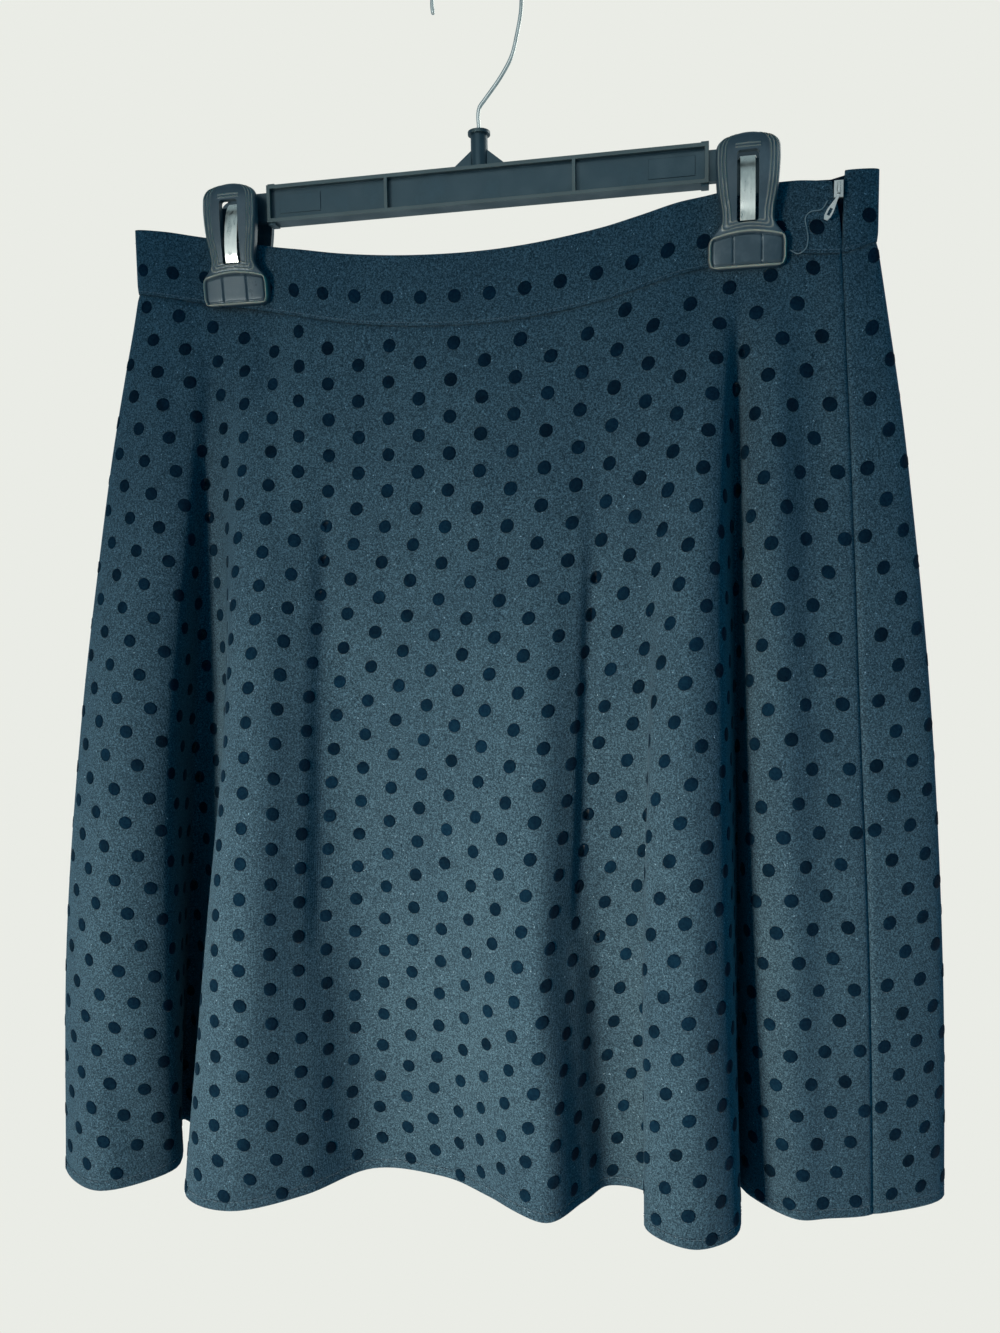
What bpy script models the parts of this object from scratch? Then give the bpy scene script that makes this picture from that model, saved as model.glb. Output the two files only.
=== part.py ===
"""A polka-dot skater skirt clipped to a two-clip bar hanger.

Metres, +Z up, the front faces -Y and +X is the right side of the photo.
The origin is the inside top of the hook's crook, where the hanger is hung.
Tables are in millimetres; heights in them are measured from the top of the hanger's bar.
"""
import math

import bmesh
import bpy
import numpy as np
from mathutils import Matrix, Vector

MM = 0.001
GAP = 0.3 * MM                   # clearance between separate pieces

# Hanger
HOOK_RISE = 110.2 * MM           # bar top up to the inside of the crook
WIRE_RADIUS = 1.05 * MM
WIRE_SIDES = 10
WIRE_TIP = (0.4, 0.55)           # how far the ends taper, in radii, and to what share of the radius
HOOK_NECK = (
    # x, height: the wire from inside the socket to where the crook begins
    (0.0, 8.0), (0.0, 20.0), (-0.2, 28.5), (0.6, 31.5), (3.2, 34.6), (12.4, 45.6), (18.6, 55.6), (21.6, 66.0),
    (23.9, 77.0),
)
CROOK_RADIUS = 24.6 * MM
CROOK_START = -8.0               # degrees above the horizontal where the crook takes over
CROOK_SWEEP = 200.0
CROOK_STEPS = 18
BAR_HALF = 122.0 * MM
BAR_HEIGHT = 20.0 * MM
BAR_DEPTH = 11.0 * MM
BAR_FLANGE = 2.0 * MM            # frame left round each recessed panel
BAR_RECESS = 3.2 * MM
BAR_RIB_X = 52.0 * MM
BAR_RIB = 1.8 * MM
PLATE_SIZE = (24.0 * MM, 10.0 * MM)
PLATE_X = 103.0 * MM
PLATE_STEP = 0.5 * MM
NUB_SIZE = (4.0 * MM, 7.0 * MM, 2.4 * MM)
TONGUE_END = 134.0 * MM
TONGUE_DEPTH = 4.8 * MM
TONGUE_Z = (-18.5 * MM, -3.0 * MM)
SOCKET_RADIUS = 4.6 * MM
SOCKET_HEIGHT = 18.7 * MM
SOCKET_FLANGE = (6.1 * MM, 1.8 * MM)
SOCKET_SIDES = 20
SOCKET_BORE = 1.45 * MM
BORE_SIDES = 14
BORE_DEPTH = 12.0 * MM
GUSSET_REACH = 15.5 * MM
GUSSET_HEIGHT = 9.5 * MM
GUSSET_DEPTH = 2.6 * MM
GUSSET_TOP = 3.7 * MM            # half its width where it meets the socket

# Clips: height, half width, outer face and inner face from the hanger's middle plane
CLIP_X = 141.5 * MM
JAW_ROWS = (
    # height, half_width, outer, inner
    (1.0, 10.5, 12.2, 10.4),
    (-0.8, 13.2, 13.2, 10.2),
    (-4.0, 15.2, 14.0, 10.0),
    (-10.0, 15.9, 14.6, 9.8),
    (-20.0, 15.6, 14.8, 9.4),
    (-30.0, 14.6, 14.2, 8.8),
    (-38.0, 13.4, 13.2, 8.2),
    (-43.0, 13.6, 12.4, 7.8),
    (-46.0, 15.4, 11.8, 7.4),
    (-49.0, 18.2, 11.4, 6.6),
    (-52.0, 19.5, 11.0, 5.5),
    (-57.0, 19.7, 10.4, 5.1),
    (-62.0, 19.3, 9.8, 5.2),
    (-64.2, 17.6, 9.4, 5.4),
    (-65.0, 15.0, 9.0, 5.6),
)
JAW_COLUMNS = 8
JAW_CROWN = 1.1 * MM             # how far the outer face falls back at its side edges
SLOT_HALF = 5.4 * MM
SLOT_Z = (-43.0 * MM, -8.5 * MM)
STEP_HALF = 8.6 * MM
STEP_Z = (-45.0 * MM, -5.5 * MM)
STEP_FLOOR = 11.8 * MM           # the ledge round the slot, from the hanger's middle plane
PAD_HALF = 17.6 * MM
PAD_Z = (-63.2 * MM, -50.2 * MM)
PAD_FLOOR = 9.7 * MM
CUT_REACH = 20.0 * MM            # how far the cutting boxes reach past the faces they cut
BOSS_REACH = (7.5 * MM, 14.5 * MM)   # the block inside each jaw that holds the bar's tongue
BOSS_ROOT = 10.6 * MM
BOSS_Z = (-17.0 * MM, -5.0 * MM)
SPRING_HALF = 4.3 * MM
SPRING_THICK = 0.8 * MM
SPRING_PATH = (
    # depth, height: down one leg, over the top and down the other
    (11.0, -42.0), (12.2, -38.0), (12.0, -30.0), (10.4, -20.0), (7.6, -12.5), (3.4, -8.4),
    (-3.4, -8.4), (-7.6, -12.5), (-10.4, -20.0), (-12.0, -30.0), (-12.2, -38.0), (-11.0, -42.0),
)

# Cloth
SKIRT_WALL = 1.6 * MM
BAND_WALL = 2.2 * MM
BAND_LEAN = 0.12                 # the share by which the band's top lies nearer the middle plane
HEM_Z = -574.0 * MM
COLUMNS_PER_FOLD = 3
SKIRT_ROWS = 18
BAND_ROWS = 3
LEVELS = (0.0, 0.20, 0.46, 0.73, 1.0)   # seam, upper, middle, lower, hem
FOLD_START = 0.09                # the share of the length in which the folds begin

# The band's top edge and its lower seam, left to right; the front's top sags towards the zip
BAND_EDGES = (
    # x, front_top, back_top, seam
    (-206.0, -17.0, -17.0, -53.0),
    (-170.0, -23.2, -23.2, -60.0),
    (-125.0, -32.0, -32.0, -68.0),
    (-80.0, -41.5, -41.5, -78.5),
    (-33.0, -46.6, -46.6, -84.0),
    (15.0, -46.8, -46.8, -84.6),
    (68.0, -39.6, -39.6, -76.8),
    (118.0, -26.5, -26.5, -62.5),
    (165.0, -22.6, -21.0, -58.4),
    (190.0, -26.6, -20.6, -60.2),
    (206.0, -26.6, -20.0, -54.5),
)
FRONT_TOP, BACK_TOP, SEAM = 1, 2, 3   # its columns

# Fold lines round the skirt, clockwise seen from above starting at the left seam.
# Each row gives x, y at the band seam, then at the upper, middle and lower levels and the hem.
FOLDS = (
    # name, seam, upper, middle, lower, hem
    ("left_seam", (-205.0, 3.0), (-226.0, 2.0), (-245.0, -6.0), (-257.0, -18.0), (-262.0, -30.0)),
    ("left_outline", (-204.5, -3.5), (-226.5, -8.0), (-245.5, -20.0), (-256.0, -34.0), (-256.0, -49.0)),
    ("left_ridge", (-186.0, -7.0), (-194.0, -18.0), (-211.0, -36.0), (-218.0, -53.0), (-224.0, -64.0)),
    ("left_ridge_end", (-168.0, -4.0), (-174.0, -13.0), (-187.0, -24.0), (-190.0, -34.0), (-191.0, -35.0)),
    ("left_valley", (-157.0, -3.3), (-169.0, -1.0), (-186.0, 9.0), (-201.0, 15.0), (-215.0, 16.0)),
    ("front_edge_in", (-146.0, -3.3), (-155.0, -6.0), (-165.0, 1.0), (-177.0, -1.0), (-189.0, -6.0)),
    ("front_edge", (-134.0, -3.3), (-141.0, -17.0), (-144.0, -36.0), (-157.0, -50.0), (-171.0, -60.0)),
    ("front_ridge", (-120.0, -3.6), (-124.0, -21.0), (-122.0, -43.0), (-130.0, -59.0), (-140.0, -68.0)),
    ("front_slope", (-97.0, -10.0), (-104.0, -20.0), (-104.0, -33.0), (-106.0, -41.0), (-104.0, -46.0)),
    ("left_hollow", (-76.0, -12.0), (-84.0, -17.0), (-86.0, -20.0), (-80.0, -18.0), (-74.0, -14.0)),
    ("middle_flat", (-36.0, -14.0), (-42.0, -19.0), (-40.0, -20.0), (-38.0, -17.0), (-32.0, -14.0)),
    ("middle_ridge", (2.0, -15.0), (2.0, -22.0), (1.0, -27.0), (0.0, -28.0), (1.0, -28.0)),
    ("second_ridge", (36.0, -14.0), (35.0, -23.0), (35.0, -33.0), (34.0, -42.0), (37.0, -46.0)),
    ("crease_left", (54.0, -13.0), (54.0, -20.0), (51.0, -24.0), (50.0, -25.0), (55.0, -23.0)),
    ("crease_valley", (66.0, -12.0), (65.0, -17.0), (60.0, -17.0), (62.0, -12.0), (66.0, -6.0)),
    ("crease_right", (80.0, -11.0), (78.0, -18.0), (76.0, -18.0), (77.0, -12.0), (82.0, -5.0)),
    ("fold_tuck", (92.0, -9.0), (93.0, -19.0), (91.0, -22.0), (90.0, -18.0), (93.0, -12.0)),
    ("fold_edge", (106.0, -7.0), (104.0, -22.0), (95.5, -34.0), (91.0, -41.0), (91.0, -41.0)),
    ("fold_ridge", (119.0, -3.5), (118.0, -26.0), (113.0, -43.0), (115.0, -52.0), (117.0, -53.5)),
    ("fold_right", (131.0, -3.3), (128.0, -21.0), (129.0, -33.0), (132.5, -38.0), (139.0, -37.0)),
    ("right_valley", (138.0, -3.3), (136.5, -2.0), (137.5, 4.0), (139.0, 8.0), (140.0, 9.0)),
    ("right_rise", (146.0, -3.3), (143.5, -11.0), (144.5, -11.0), (145.5, -8.0), (147.0, -1.0)),
    ("right_ridge", (157.0, -3.3), (156.0, -18.0), (160.0, -21.0), (166.0, -21.0), (171.0, -18.0)),
    ("clip_valley", (168.0, -4.2), (172.0, -10.0), (179.0, -13.0), (184.0, -14.0), (188.0, -14.0)),
    ("right_seam", (188.0, -7.6), (194.0, -9.0), (201.0, -9.0), (208.5, -8.0), (213.0, -6.0)),
    ("right_outline", (205.0, -2.0), (222.0, 3.0), (238.0, 8.0), (248.0, 13.0), (254.0, 19.0)),
    ("back_first", (196.0, 7.0), (210.0, 17.0), (224.0, 28.0), (236.0, 38.0), (243.0, 46.0)),
    ("back_first_top", (180.0, 6.0), (192.0, 24.0), (202.0, 40.0), (210.0, 54.0), (214.0, 63.0)),
    ("back_first_in", (160.0, 3.4), (166.0, 15.0), (170.0, 20.0), (174.0, 22.0), (176.0, 23.0)),
    ("back_second", (140.0, 3.3), (141.0, 20.0), (143.0, 36.0), (146.0, 48.0), (150.0, 57.0)),
    ("back_second_side", (122.0, 3.6), (122.0, 22.0), (121.0, 36.0), (122.0, 47.0), (124.0, 55.0)),
    ("back_hollow", (96.0, 8.5), (92.0, 17.0), (88.0, 21.0), (86.0, 22.0), (84.0, 22.0)),
    ("back_third", (62.0, 12.5), (56.0, 25.0), (52.0, 36.0), (50.0, 46.0), (50.0, 54.0)),
    ("back_third_side", (36.0, 14.0), (32.0, 26.0), (28.0, 37.0), (26.0, 46.0), (24.0, 52.0)),
    ("back_middle_in", (4.0, 14.5), (-2.0, 20.0), (-6.0, 22.0), (-8.0, 23.0), (-10.0, 25.0)),
    ("back_fourth", (-34.0, 14.0), (-38.0, 27.0), (-42.0, 41.0), (-46.0, 54.0), (-50.0, 64.0)),
    ("back_fourth_side", (-58.0, 12.5), (-64.0, 26.0), (-70.0, 39.0), (-76.0, 51.0), (-82.0, 60.0)),
    ("back_fourth_in", (-90.0, 9.5), (-98.0, 18.0), (-106.0, 26.0), (-112.0, 32.0), (-116.0, 36.0)),
    ("back_fifth", (-122.0, 3.6), (-134.0, 21.0), (-146.0, 38.0), (-154.0, 54.0), (-158.0, 66.0)),
    ("back_fifth_side", (-142.0, 3.3), (-156.0, 22.0), (-172.0, 40.0), (-182.0, 56.0), (-188.0, 68.0)),
    ("back_fifth_in", (-162.0, 3.5), (-184.0, 16.0), (-204.0, 29.0), (-216.0, 42.0), (-222.0, 50.0)),
    ("back_left", (-190.0, 7.5), (-212.0, 13.0), (-234.0, 18.0), (-248.0, 20.0), (-256.0, 18.0)),
)
FOLD_NAMES = [row[0] for row in FOLDS]
LEFT_SEAM = FOLD_NAMES.index("left_seam")
RIGHT_SEAM = FOLD_NAMES.index("right_seam")
ZIP_OPENING = (5.4 * MM, 0.8 * MM)    # how far the front's and the back's end stand apart at the top

# Zip
ZIP_AT = (185.6, -9.7, -30.5)         # middle of the slider
SLIDER_SIZE = (4.6 * MM, 2.4 * MM, 8.4 * MM)
BRIDGE_SIZE = (1.4 * MM, 1.6 * MM, 5.4 * MM)
RAIL_THICK = 0.8 * MM
TAB_LEAN = math.radians(28.0)
TAB_THICK = 0.8 * MM
TAB_HINGE = (185.2, -12.3, -34.4)
TAB_PROFILE = (
    # x, height from the hinge, half of the teardrop from its neck to its foot
    (0.7, 0.9), (0.7, -2.0), (1.7, -7.5), (1.7, -10.5), (0.9, -12.6),
)
TAB_HOLE = (0.75 * MM, -10.2 * MM, -6.6 * MM)   # half width, bottom and top

# Colours from the photo, linear
CLOTH = (0.020, 0.024, 0.028)
BAR_PLASTIC = (0.018, 0.019, 0.021)
CLIP_PLASTIC = (0.030, 0.032, 0.036)
WIRE_STEEL = (0.55, 0.56, 0.58)
SPRING_STEEL = (0.62, 0.63, 0.64)
ZIP_METAL = (0.60, 0.61, 0.62)
TOOL_GREY = (0.5, 0.5, 0.5)      # only on the shapes that cut or join others


def bar_frame(point):
    """A table point, in millimetres from the bar's top, in world metres."""
    return Vector((point[0] * MM, point[1] * MM, point[2] * MM - HOOK_RISE))


def smooth_values(knots, values, at):
    """Values that pass smoothly through the knots; `values` may carry more axes."""
    knots = np.asarray(knots, float)
    values = np.asarray(values, float)
    steps = np.diff(knots)
    rise = np.diff(values, axis=0) / steps.reshape((-1,) + (1,) * (values.ndim - 1))
    slope = np.concatenate([rise[:1], (rise[1:] + rise[:-1]) / 2, rise[-1:]])
    low = int(np.clip(np.searchsorted(knots, at) - 1, 0, len(knots) - 2))
    width = steps[low]
    u = (at - knots[low]) / width
    return ((1 + 2 * u) * (1 - u) ** 2 * values[low] + u * (1 - u) ** 2 * width * slope[low]
            + u * u * (3 - 2 * u) * values[low + 1] + u * u * (u - 1) * width * slope[low + 1])


def ring(points, columns):
    """A smooth closed curve through the points, with an equal number of columns between them."""
    count = len(points)
    out = []
    for i in range(count):
        four = [points[(i + k) % count] for k in (-1, 0, 1, 2)]
        gaps = [max(np.linalg.norm(four[k + 1] - four[k]), 1e-6) ** 0.5 for k in range(3)]
        start = (four[1] - four[0]) / gaps[0] - (four[2] - four[0]) / (gaps[0] + gaps[1])
        start = start + (four[2] - four[1]) / gaps[1]
        end = (four[2] - four[1]) / gaps[1] - (four[3] - four[1]) / (gaps[1] + gaps[2])
        end = end + (four[3] - four[2]) / gaps[2]
        for k in range(columns):
            u = k / columns
            out.append((1 + 2 * u) * (1 - u) ** 2 * four[1] + u * (1 - u) ** 2 * gaps[1] * start
                       + u * u * (3 - 2 * u) * four[2] + u * u * (u - 1) * gaps[1] * end)
    return np.array(out)


def edge_height(x, column):
    """Height of one of the band's edges at one x."""
    xs = [row[0] * MM for row in BAND_EDGES]
    zs = [row[column] * MM for row in BAND_EDGES]
    return float(smooth_values(xs, zs, min(max(x, xs[0]), xs[-1])))


FOLD_PLAN = np.array([[point for point in row[1:]] for row in FOLDS]) * MM
SEAM_RING = ring(FOLD_PLAN[:, 0], COLUMNS_PER_FOLD)
COLUMNS = len(SEAM_RING)


def settled(t):
    """0 at the band seam, 1 a little below it: the folds start softly under the band."""
    u = min(t / FOLD_START, 1.0)
    return u * u * (3 - 2 * u)


def skirt_grid(rows, top_gap=GAP):
    """The skirt's middle surface: rows from the band seam to the hem, one column per ring step."""
    grid = np.zeros((rows + 1, COLUMNS, 3))
    for j in range(rows + 1):
        t = j / rows
        plan = smooth_values(LEVELS, FOLD_PLAN.transpose(1, 0, 2), t)
        soft = smooth_values(LEVELS, FOLD_PLAN.transpose(1, 0, 2), t * settled(t))
        plan[:, 1] = soft[:, 1]
        curve = ring(plan, COLUMNS_PER_FOLD)
        for i in range(COLUMNS):
            top = edge_height(SEAM_RING[i][0], SEAM) - top_gap
            grid[j, i] = (curve[i][0], curve[i][1], top + (HEM_Z - top) * t - HOOK_RISE)
    return grid


def band_grid(rows, edge):
    """The waistband's middle surface, rows from its seam up to the front's or the back's top edge."""
    grid = np.zeros((rows + 1, COLUMNS, 3))
    for j in range(rows + 1):
        h = j / rows
        for i, (x, y) in enumerate(SEAM_RING):
            low, high = edge_height(x, SEAM), edge_height(x, edge)
            grid[j, i] = (x, y * (1.0 - BAND_LEAN * h), low + (high - low) * h - HOOK_RISE)
    return grid


def grid_normals(grid):
    """Unit normals of a grid that closes on itself along its columns, pointing outwards."""
    across = np.roll(grid, -1, axis=1) - np.roll(grid, 1, axis=1)
    along = np.gradient(grid, axis=0)
    normal = np.cross(across, along)
    normal /= np.linalg.norm(normal, axis=2, keepdims=True)
    middle = grid[:, :, :2].mean(axis=(0, 1))
    outward = ((grid[:, :, :2] - middle) * normal[:, :, :2]).sum()
    return normal if outward > 0 else -normal


def new_object(name, verts, faces, material):
    """A mesh object with its faces turned outwards."""
    mesh = bpy.data.meshes.new(name)
    mesh.from_pydata([tuple(v) for v in verts], [], faces)
    mesh.validate()
    work = bmesh.new()
    work.from_mesh(mesh)
    bmesh.ops.recalc_face_normals(work, faces=work.faces)
    work.to_mesh(mesh)
    work.free()
    mesh.materials.append(material)
    obj = bpy.data.objects.new(name, mesh)
    bpy.context.collection.objects.link(obj)
    return obj


def slab(name, outer, inner, material):
    """A closed slab between two grids of the same size."""
    rows, columns = outer.shape[:2]
    verts = np.concatenate([outer.reshape(-1, 3), inner.reshape(-1, 3)])
    back = rows * columns
    faces = []
    for j in range(rows - 1):
        for i in range(columns - 1):
            a, b = j * columns + i, j * columns + i + 1
            c, d = b + columns, a + columns
            faces.append((a, b, c, d))
            faces.append((back + d, back + c, back + b, back + a))
    rim = [i for i in range(columns)]
    rim += [j * columns + columns - 1 for j in range(1, rows)]
    rim += [(rows - 1) * columns + i for i in range(columns - 2, -1, -1)]
    rim += [j * columns for j in range(rows - 2, 0, -1)]
    for a, b in zip(rim, rim[1:] + rim[:1]):
        faces.append((b, a, back + a, back + b))
    return new_object(name, verts, faces, material)


def panel_columns(start, end):
    """Column numbers from one fold line to another, going round the ring."""
    first, last = start * COLUMNS_PER_FOLD, end * COLUMNS_PER_FOLD
    if last <= first:
        last += COLUMNS
    return [i % COLUMNS for i in range(first, last + 1)]


def trim_end(grid, column, inner, amounts):
    """Move one end column of a panel towards the panel, row by row."""
    step = grid[:, inner] - grid[:, column]
    step /= np.linalg.norm(step, axis=1, keepdims=True)
    grid[:, column] += step * np.asarray(amounts).reshape(-1, 1)


def cloth_panel(name, grid, columns, wall, material, trims):
    """A panel cut from the ring: its own columns, trimmed at both ends and given its wall."""
    normal = grid_normals(grid)[:, columns]
    sheet = grid[:, columns].copy()
    trim_end(sheet, 0, 1, trims[0])
    trim_end(sheet, -1, -2, trims[1])
    return slab(name, sheet + normal * wall / 2, sheet - normal * wall / 2, material)


def make_material(name, colour=TOOL_GREY, roughness=0.5, metallic=0.0):
    material = bpy.data.materials.new(name)
    material.use_nodes = True
    shader = material.node_tree.nodes["Principled BSDF"]
    shader.inputs["Base Color"].default_value = (*colour, 1.0)
    shader.inputs["Roughness"].default_value = roughness
    shader.inputs["Metallic"].default_value = metallic
    material.diffuse_color = (*colour, 1.0)
    return material


def box_object(name, low, high, material=None):
    """An upright box between two corners in world metres."""
    verts = [(x, y, z) for x in (low[0], high[0]) for y in (low[1], high[1]) for z in (low[2], high[2])]
    faces = [(0, 1, 3, 2), (4, 6, 7, 5), (0, 4, 5, 1), (2, 3, 7, 6), (0, 2, 6, 4), (1, 5, 7, 3)]
    return new_object(name, verts, faces, material or make_material(name))


def cylinder_object(name, radius, low, high, sides, material=None):
    """An upright cylinder on the hook's axis."""
    verts = []
    for z in (low, high):
        for k in range(sides):
            turn = 2 * math.pi * k / sides
            verts.append((radius * math.cos(turn), radius * math.sin(turn), z))
    faces = [tuple(range(sides)), tuple(range(sides, 2 * sides))]
    faces += [(k, (k + 1) % sides, sides + (k + 1) % sides, sides + k) for k in range(sides)]
    return new_object(name, verts, faces, material or make_material(name))


def combine(target, other, operation):
    """Join or cut one object with another and drop the other."""
    modifier = target.modifiers.new(operation.title(), "BOOLEAN")
    modifier.operation = operation
    modifier.solver = "EXACT"
    modifier.object = other
    bpy.context.view_layer.objects.active = target
    bpy.ops.object.modifier_apply(modifier=modifier.name)
    material = other.data.materials[0]
    bpy.data.objects.remove(other)
    if material.users == 0:
        bpy.data.materials.remove(material)


def clean_mesh(obj, merge=0.00001):
    work = bmesh.new()
    work.from_mesh(obj.data)
    bmesh.ops.remove_doubles(work, verts=work.verts, dist=merge)
    bmesh.ops.dissolve_degenerate(work, edges=work.edges, dist=merge)
    bmesh.ops.triangulate(work, faces=work.faces)
    bmesh.ops.recalc_face_normals(work, faces=work.faces)
    work.to_mesh(obj.data)
    work.free()


def one_material(obj, material):
    obj.data.materials.clear()
    obj.data.materials.append(material)
    for polygon in obj.data.polygons:
        polygon.material_index = 0


def hanger_bar(material):
    """The moulded bar: recessed panels, ribs, end nubs, tongues for the clips and the hook socket."""
    top = -HOOK_RISE
    half_depth = BAR_DEPTH / 2
    bar = box_object("hanger_bar", (-BAR_HALF, -half_depth, top - BAR_HEIGHT), (BAR_HALF, half_depth, top), material)
    spans = ((-BAR_HALF + BAR_FLANGE, -BAR_RIB_X - BAR_RIB / 2), (-BAR_RIB_X + BAR_RIB / 2, BAR_RIB_X - BAR_RIB / 2),
             (BAR_RIB_X + BAR_RIB / 2, BAR_HALF - BAR_FLANGE))
    for side in (-1, 1):
        for left, right in spans:
            near, far = side * (half_depth - BAR_RECESS), side * (half_depth + BAR_FLANGE)
            cutter = box_object("bar_cut", (left, min(near, far), top - BAR_HEIGHT + BAR_FLANGE),
                                (right, max(near, far), top - BAR_FLANGE))
            combine(bar, cutter, "DIFFERENCE")
    floor = half_depth - BAR_RECESS
    for side in (-1, 1):
        middle = top - BAR_HEIGHT / 2
        plate = box_object("bar_plate",
                           (side * PLATE_X - PLATE_SIZE[0] / 2, -floor - PLATE_STEP, middle - PLATE_SIZE[1] / 2),
                           (side * PLATE_X + PLATE_SIZE[0] / 2, 0.0, middle + PLATE_SIZE[1] / 2))
        combine(bar, plate, "UNION")
        inner, outer = side * (BAR_HALF - NUB_SIZE[0]), side * BAR_HALF
        for z in (top, top - BAR_HEIGHT):
            nub = box_object("bar_nub", (min(inner, outer), -NUB_SIZE[1] / 2, z - NUB_SIZE[2] / 2),
                             (max(inner, outer), NUB_SIZE[1] / 2, z + NUB_SIZE[2] / 2))
            combine(bar, nub, "UNION")
        inner, outer = side * (BAR_HALF - BAR_FLANGE), side * TONGUE_END
        tongue = box_object("bar_tongue", (min(inner, outer), -TONGUE_DEPTH / 2, top + TONGUE_Z[0]),
                            (max(inner, outer), TONGUE_DEPTH / 2, top + TONGUE_Z[1]))
        combine(bar, tongue, "UNION")
    rim = top + SOCKET_HEIGHT
    combine(bar, cylinder_object("socket", SOCKET_RADIUS, top - BAR_FLANGE / 2, rim, SOCKET_SIDES), "UNION")
    flange = cylinder_object("socket_flange", SOCKET_FLANGE[0], rim - SOCKET_FLANGE[1], rim, SOCKET_SIDES)
    combine(bar, flange, "UNION")
    combine(bar, gusset(top), "UNION")
    combine(bar, cylinder_object("bore", SOCKET_BORE, rim - BORE_DEPTH, rim + BAR_FLANGE, BORE_SIDES), "DIFFERENCE")
    clean_mesh(bar)
    one_material(bar, material)
    return bar


def gusset(top):
    """The triangular web that stiffens the socket on both sides."""
    profile = ((-GUSSET_REACH, -BAR_FLANGE / 2), (GUSSET_REACH, -BAR_FLANGE / 2),
               (GUSSET_REACH, 0.0), (GUSSET_TOP, GUSSET_HEIGHT), (-GUSSET_TOP, GUSSET_HEIGHT), (-GUSSET_REACH, 0.0))
    verts = [(x, side * GUSSET_DEPTH / 2, top + z) for side in (-1, 1) for x, z in profile]
    count = len(profile)
    faces = [tuple(range(count)), tuple(range(count, 2 * count))]
    faces += [(k, (k + 1) % count, count + (k + 1) % count, count + k) for k in range(count)]
    return new_object("gusset", verts, faces, make_material("gusset"))


def hook_path():
    """The wire's centre line: up from the socket, out to the right, round the crook to its tip."""
    path = [Vector((x * MM, 0.0, z * MM - HOOK_RISE)) for x, z in HOOK_NECK]
    centre = Vector((0.0, 0.0, WIRE_RADIUS - CROOK_RADIUS))
    for k in range(CROOK_STEPS + 1):
        turn = math.radians(CROOK_START + CROOK_SWEEP * k / CROOK_STEPS)
        path.append(centre + Vector((math.cos(turn), 0.0, math.sin(turn))) * CROOK_RADIUS)
    return path


def tube(name, path, radius, sides, material):
    """A round wire along a path that lies in the XZ plane, its ends rounded off."""
    verts, faces = [], []
    rings = []
    count = len(path)
    first = (path[1] - path[0]).normalized()
    last = (path[-1] - path[-2]).normalized()
    taper, tip = WIRE_TIP
    stations = [(path[0], first, tip), (path[0] + first * radius * taper, first, 1.0)]
    for k in range(1, count - 1):
        stations.append((path[k], (path[k + 1] - path[k - 1]).normalized(), 1.0))
    stations += [(path[-1] - last * radius * taper, last, 1.0), (path[-1], last, tip)]
    for point, along, size in stations:
        side = Vector((0.0, 1.0, 0.0))
        up = along.cross(side).normalized()
        rings.append(len(verts))
        for k in range(sides):
            turn = 2 * math.pi * k / sides
            verts.append(point + (side * math.cos(turn) + up * math.sin(turn)) * radius * size)
    for a, b in zip(rings, rings[1:]):
        faces += [(a + k, a + (k + 1) % sides, b + (k + 1) % sides, b + k) for k in range(sides)]
    faces.append(tuple(range(rings[0], rings[0] + sides)))
    faces.append(tuple(range(rings[-1], rings[-1] + sides)))
    return new_object(name, verts, faces, material)


def clip_jaw(name, centre_x, side, material):
    """One jaw of a clip: a waisted lever with a slot for the spring and a flared pad below."""
    outer, inner = [], []
    for height, half, face, back in JAW_ROWS:
        outer_row, inner_row = [], []
        for k in range(JAW_COLUMNS + 1):
            u = 2.0 * k / JAW_COLUMNS - 1.0
            x = centre_x + u * half * MM
            crown = JAW_CROWN * u ** 4
            outer_row.append((x, side * (face * MM - crown), height * MM - HOOK_RISE))
            inner_row.append((x, side * back * MM, height * MM - HOOK_RISE))
        outer.append(outer_row)
        inner.append(inner_row)
    jaw = slab(name, np.array(outer), np.array(inner), material)
    towards_bar = -math.copysign(1.0, centre_x)
    ends = sorted(centre_x + towards_bar * reach for reach in BOSS_REACH)
    depths = sorted((side * (TONGUE_DEPTH / 2 + GAP), side * BOSS_ROOT))
    boss = box_object("boss", (ends[0], depths[0], BOSS_Z[0] - HOOK_RISE), (ends[1], depths[1], BOSS_Z[1] - HOOK_RISE))
    combine(jaw, boss, "UNION")
    for part, half, (low, high), floor in (("slot", SLOT_HALF, SLOT_Z, 0.0), ("step", STEP_HALF, STEP_Z, STEP_FLOOR),
                                           ("pad", PAD_HALF, PAD_Z, PAD_FLOOR)):
        near, far = sorted((side * floor, side * CUT_REACH))
        cutter = box_object(part, (centre_x - half, near, low - HOOK_RISE), (centre_x + half, far, high - HOOK_RISE))
        combine(jaw, cutter, "DIFFERENCE")
    clean_mesh(jaw)
    one_material(jaw, material)
    return jaw


def clip_spring(name, centre_x, material):
    """The flat spring that hooks both jaws through their slots."""
    points = [Vector((0.0, y * MM, z * MM - HOOK_RISE)) for y, z in SPRING_PATH]
    outer, inner = [], []
    for k, point in enumerate(points):
        before, after = points[max(k - 1, 0)], points[min(k + 1, len(points) - 1)]
        along = (after - before).normalized()
        normal = Vector((1.0, 0.0, 0.0)).cross(along)
        sides = [centre_x - SPRING_HALF, centre_x + SPRING_HALF]
        outer.append([(x, *(point + normal * SPRING_THICK / 2)[1:]) for x in sides])
        inner.append([(x, *(point - normal * SPRING_THICK / 2)[1:]) for x in sides])
    return slab(name, np.array(outer), np.array(inner), material)


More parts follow.
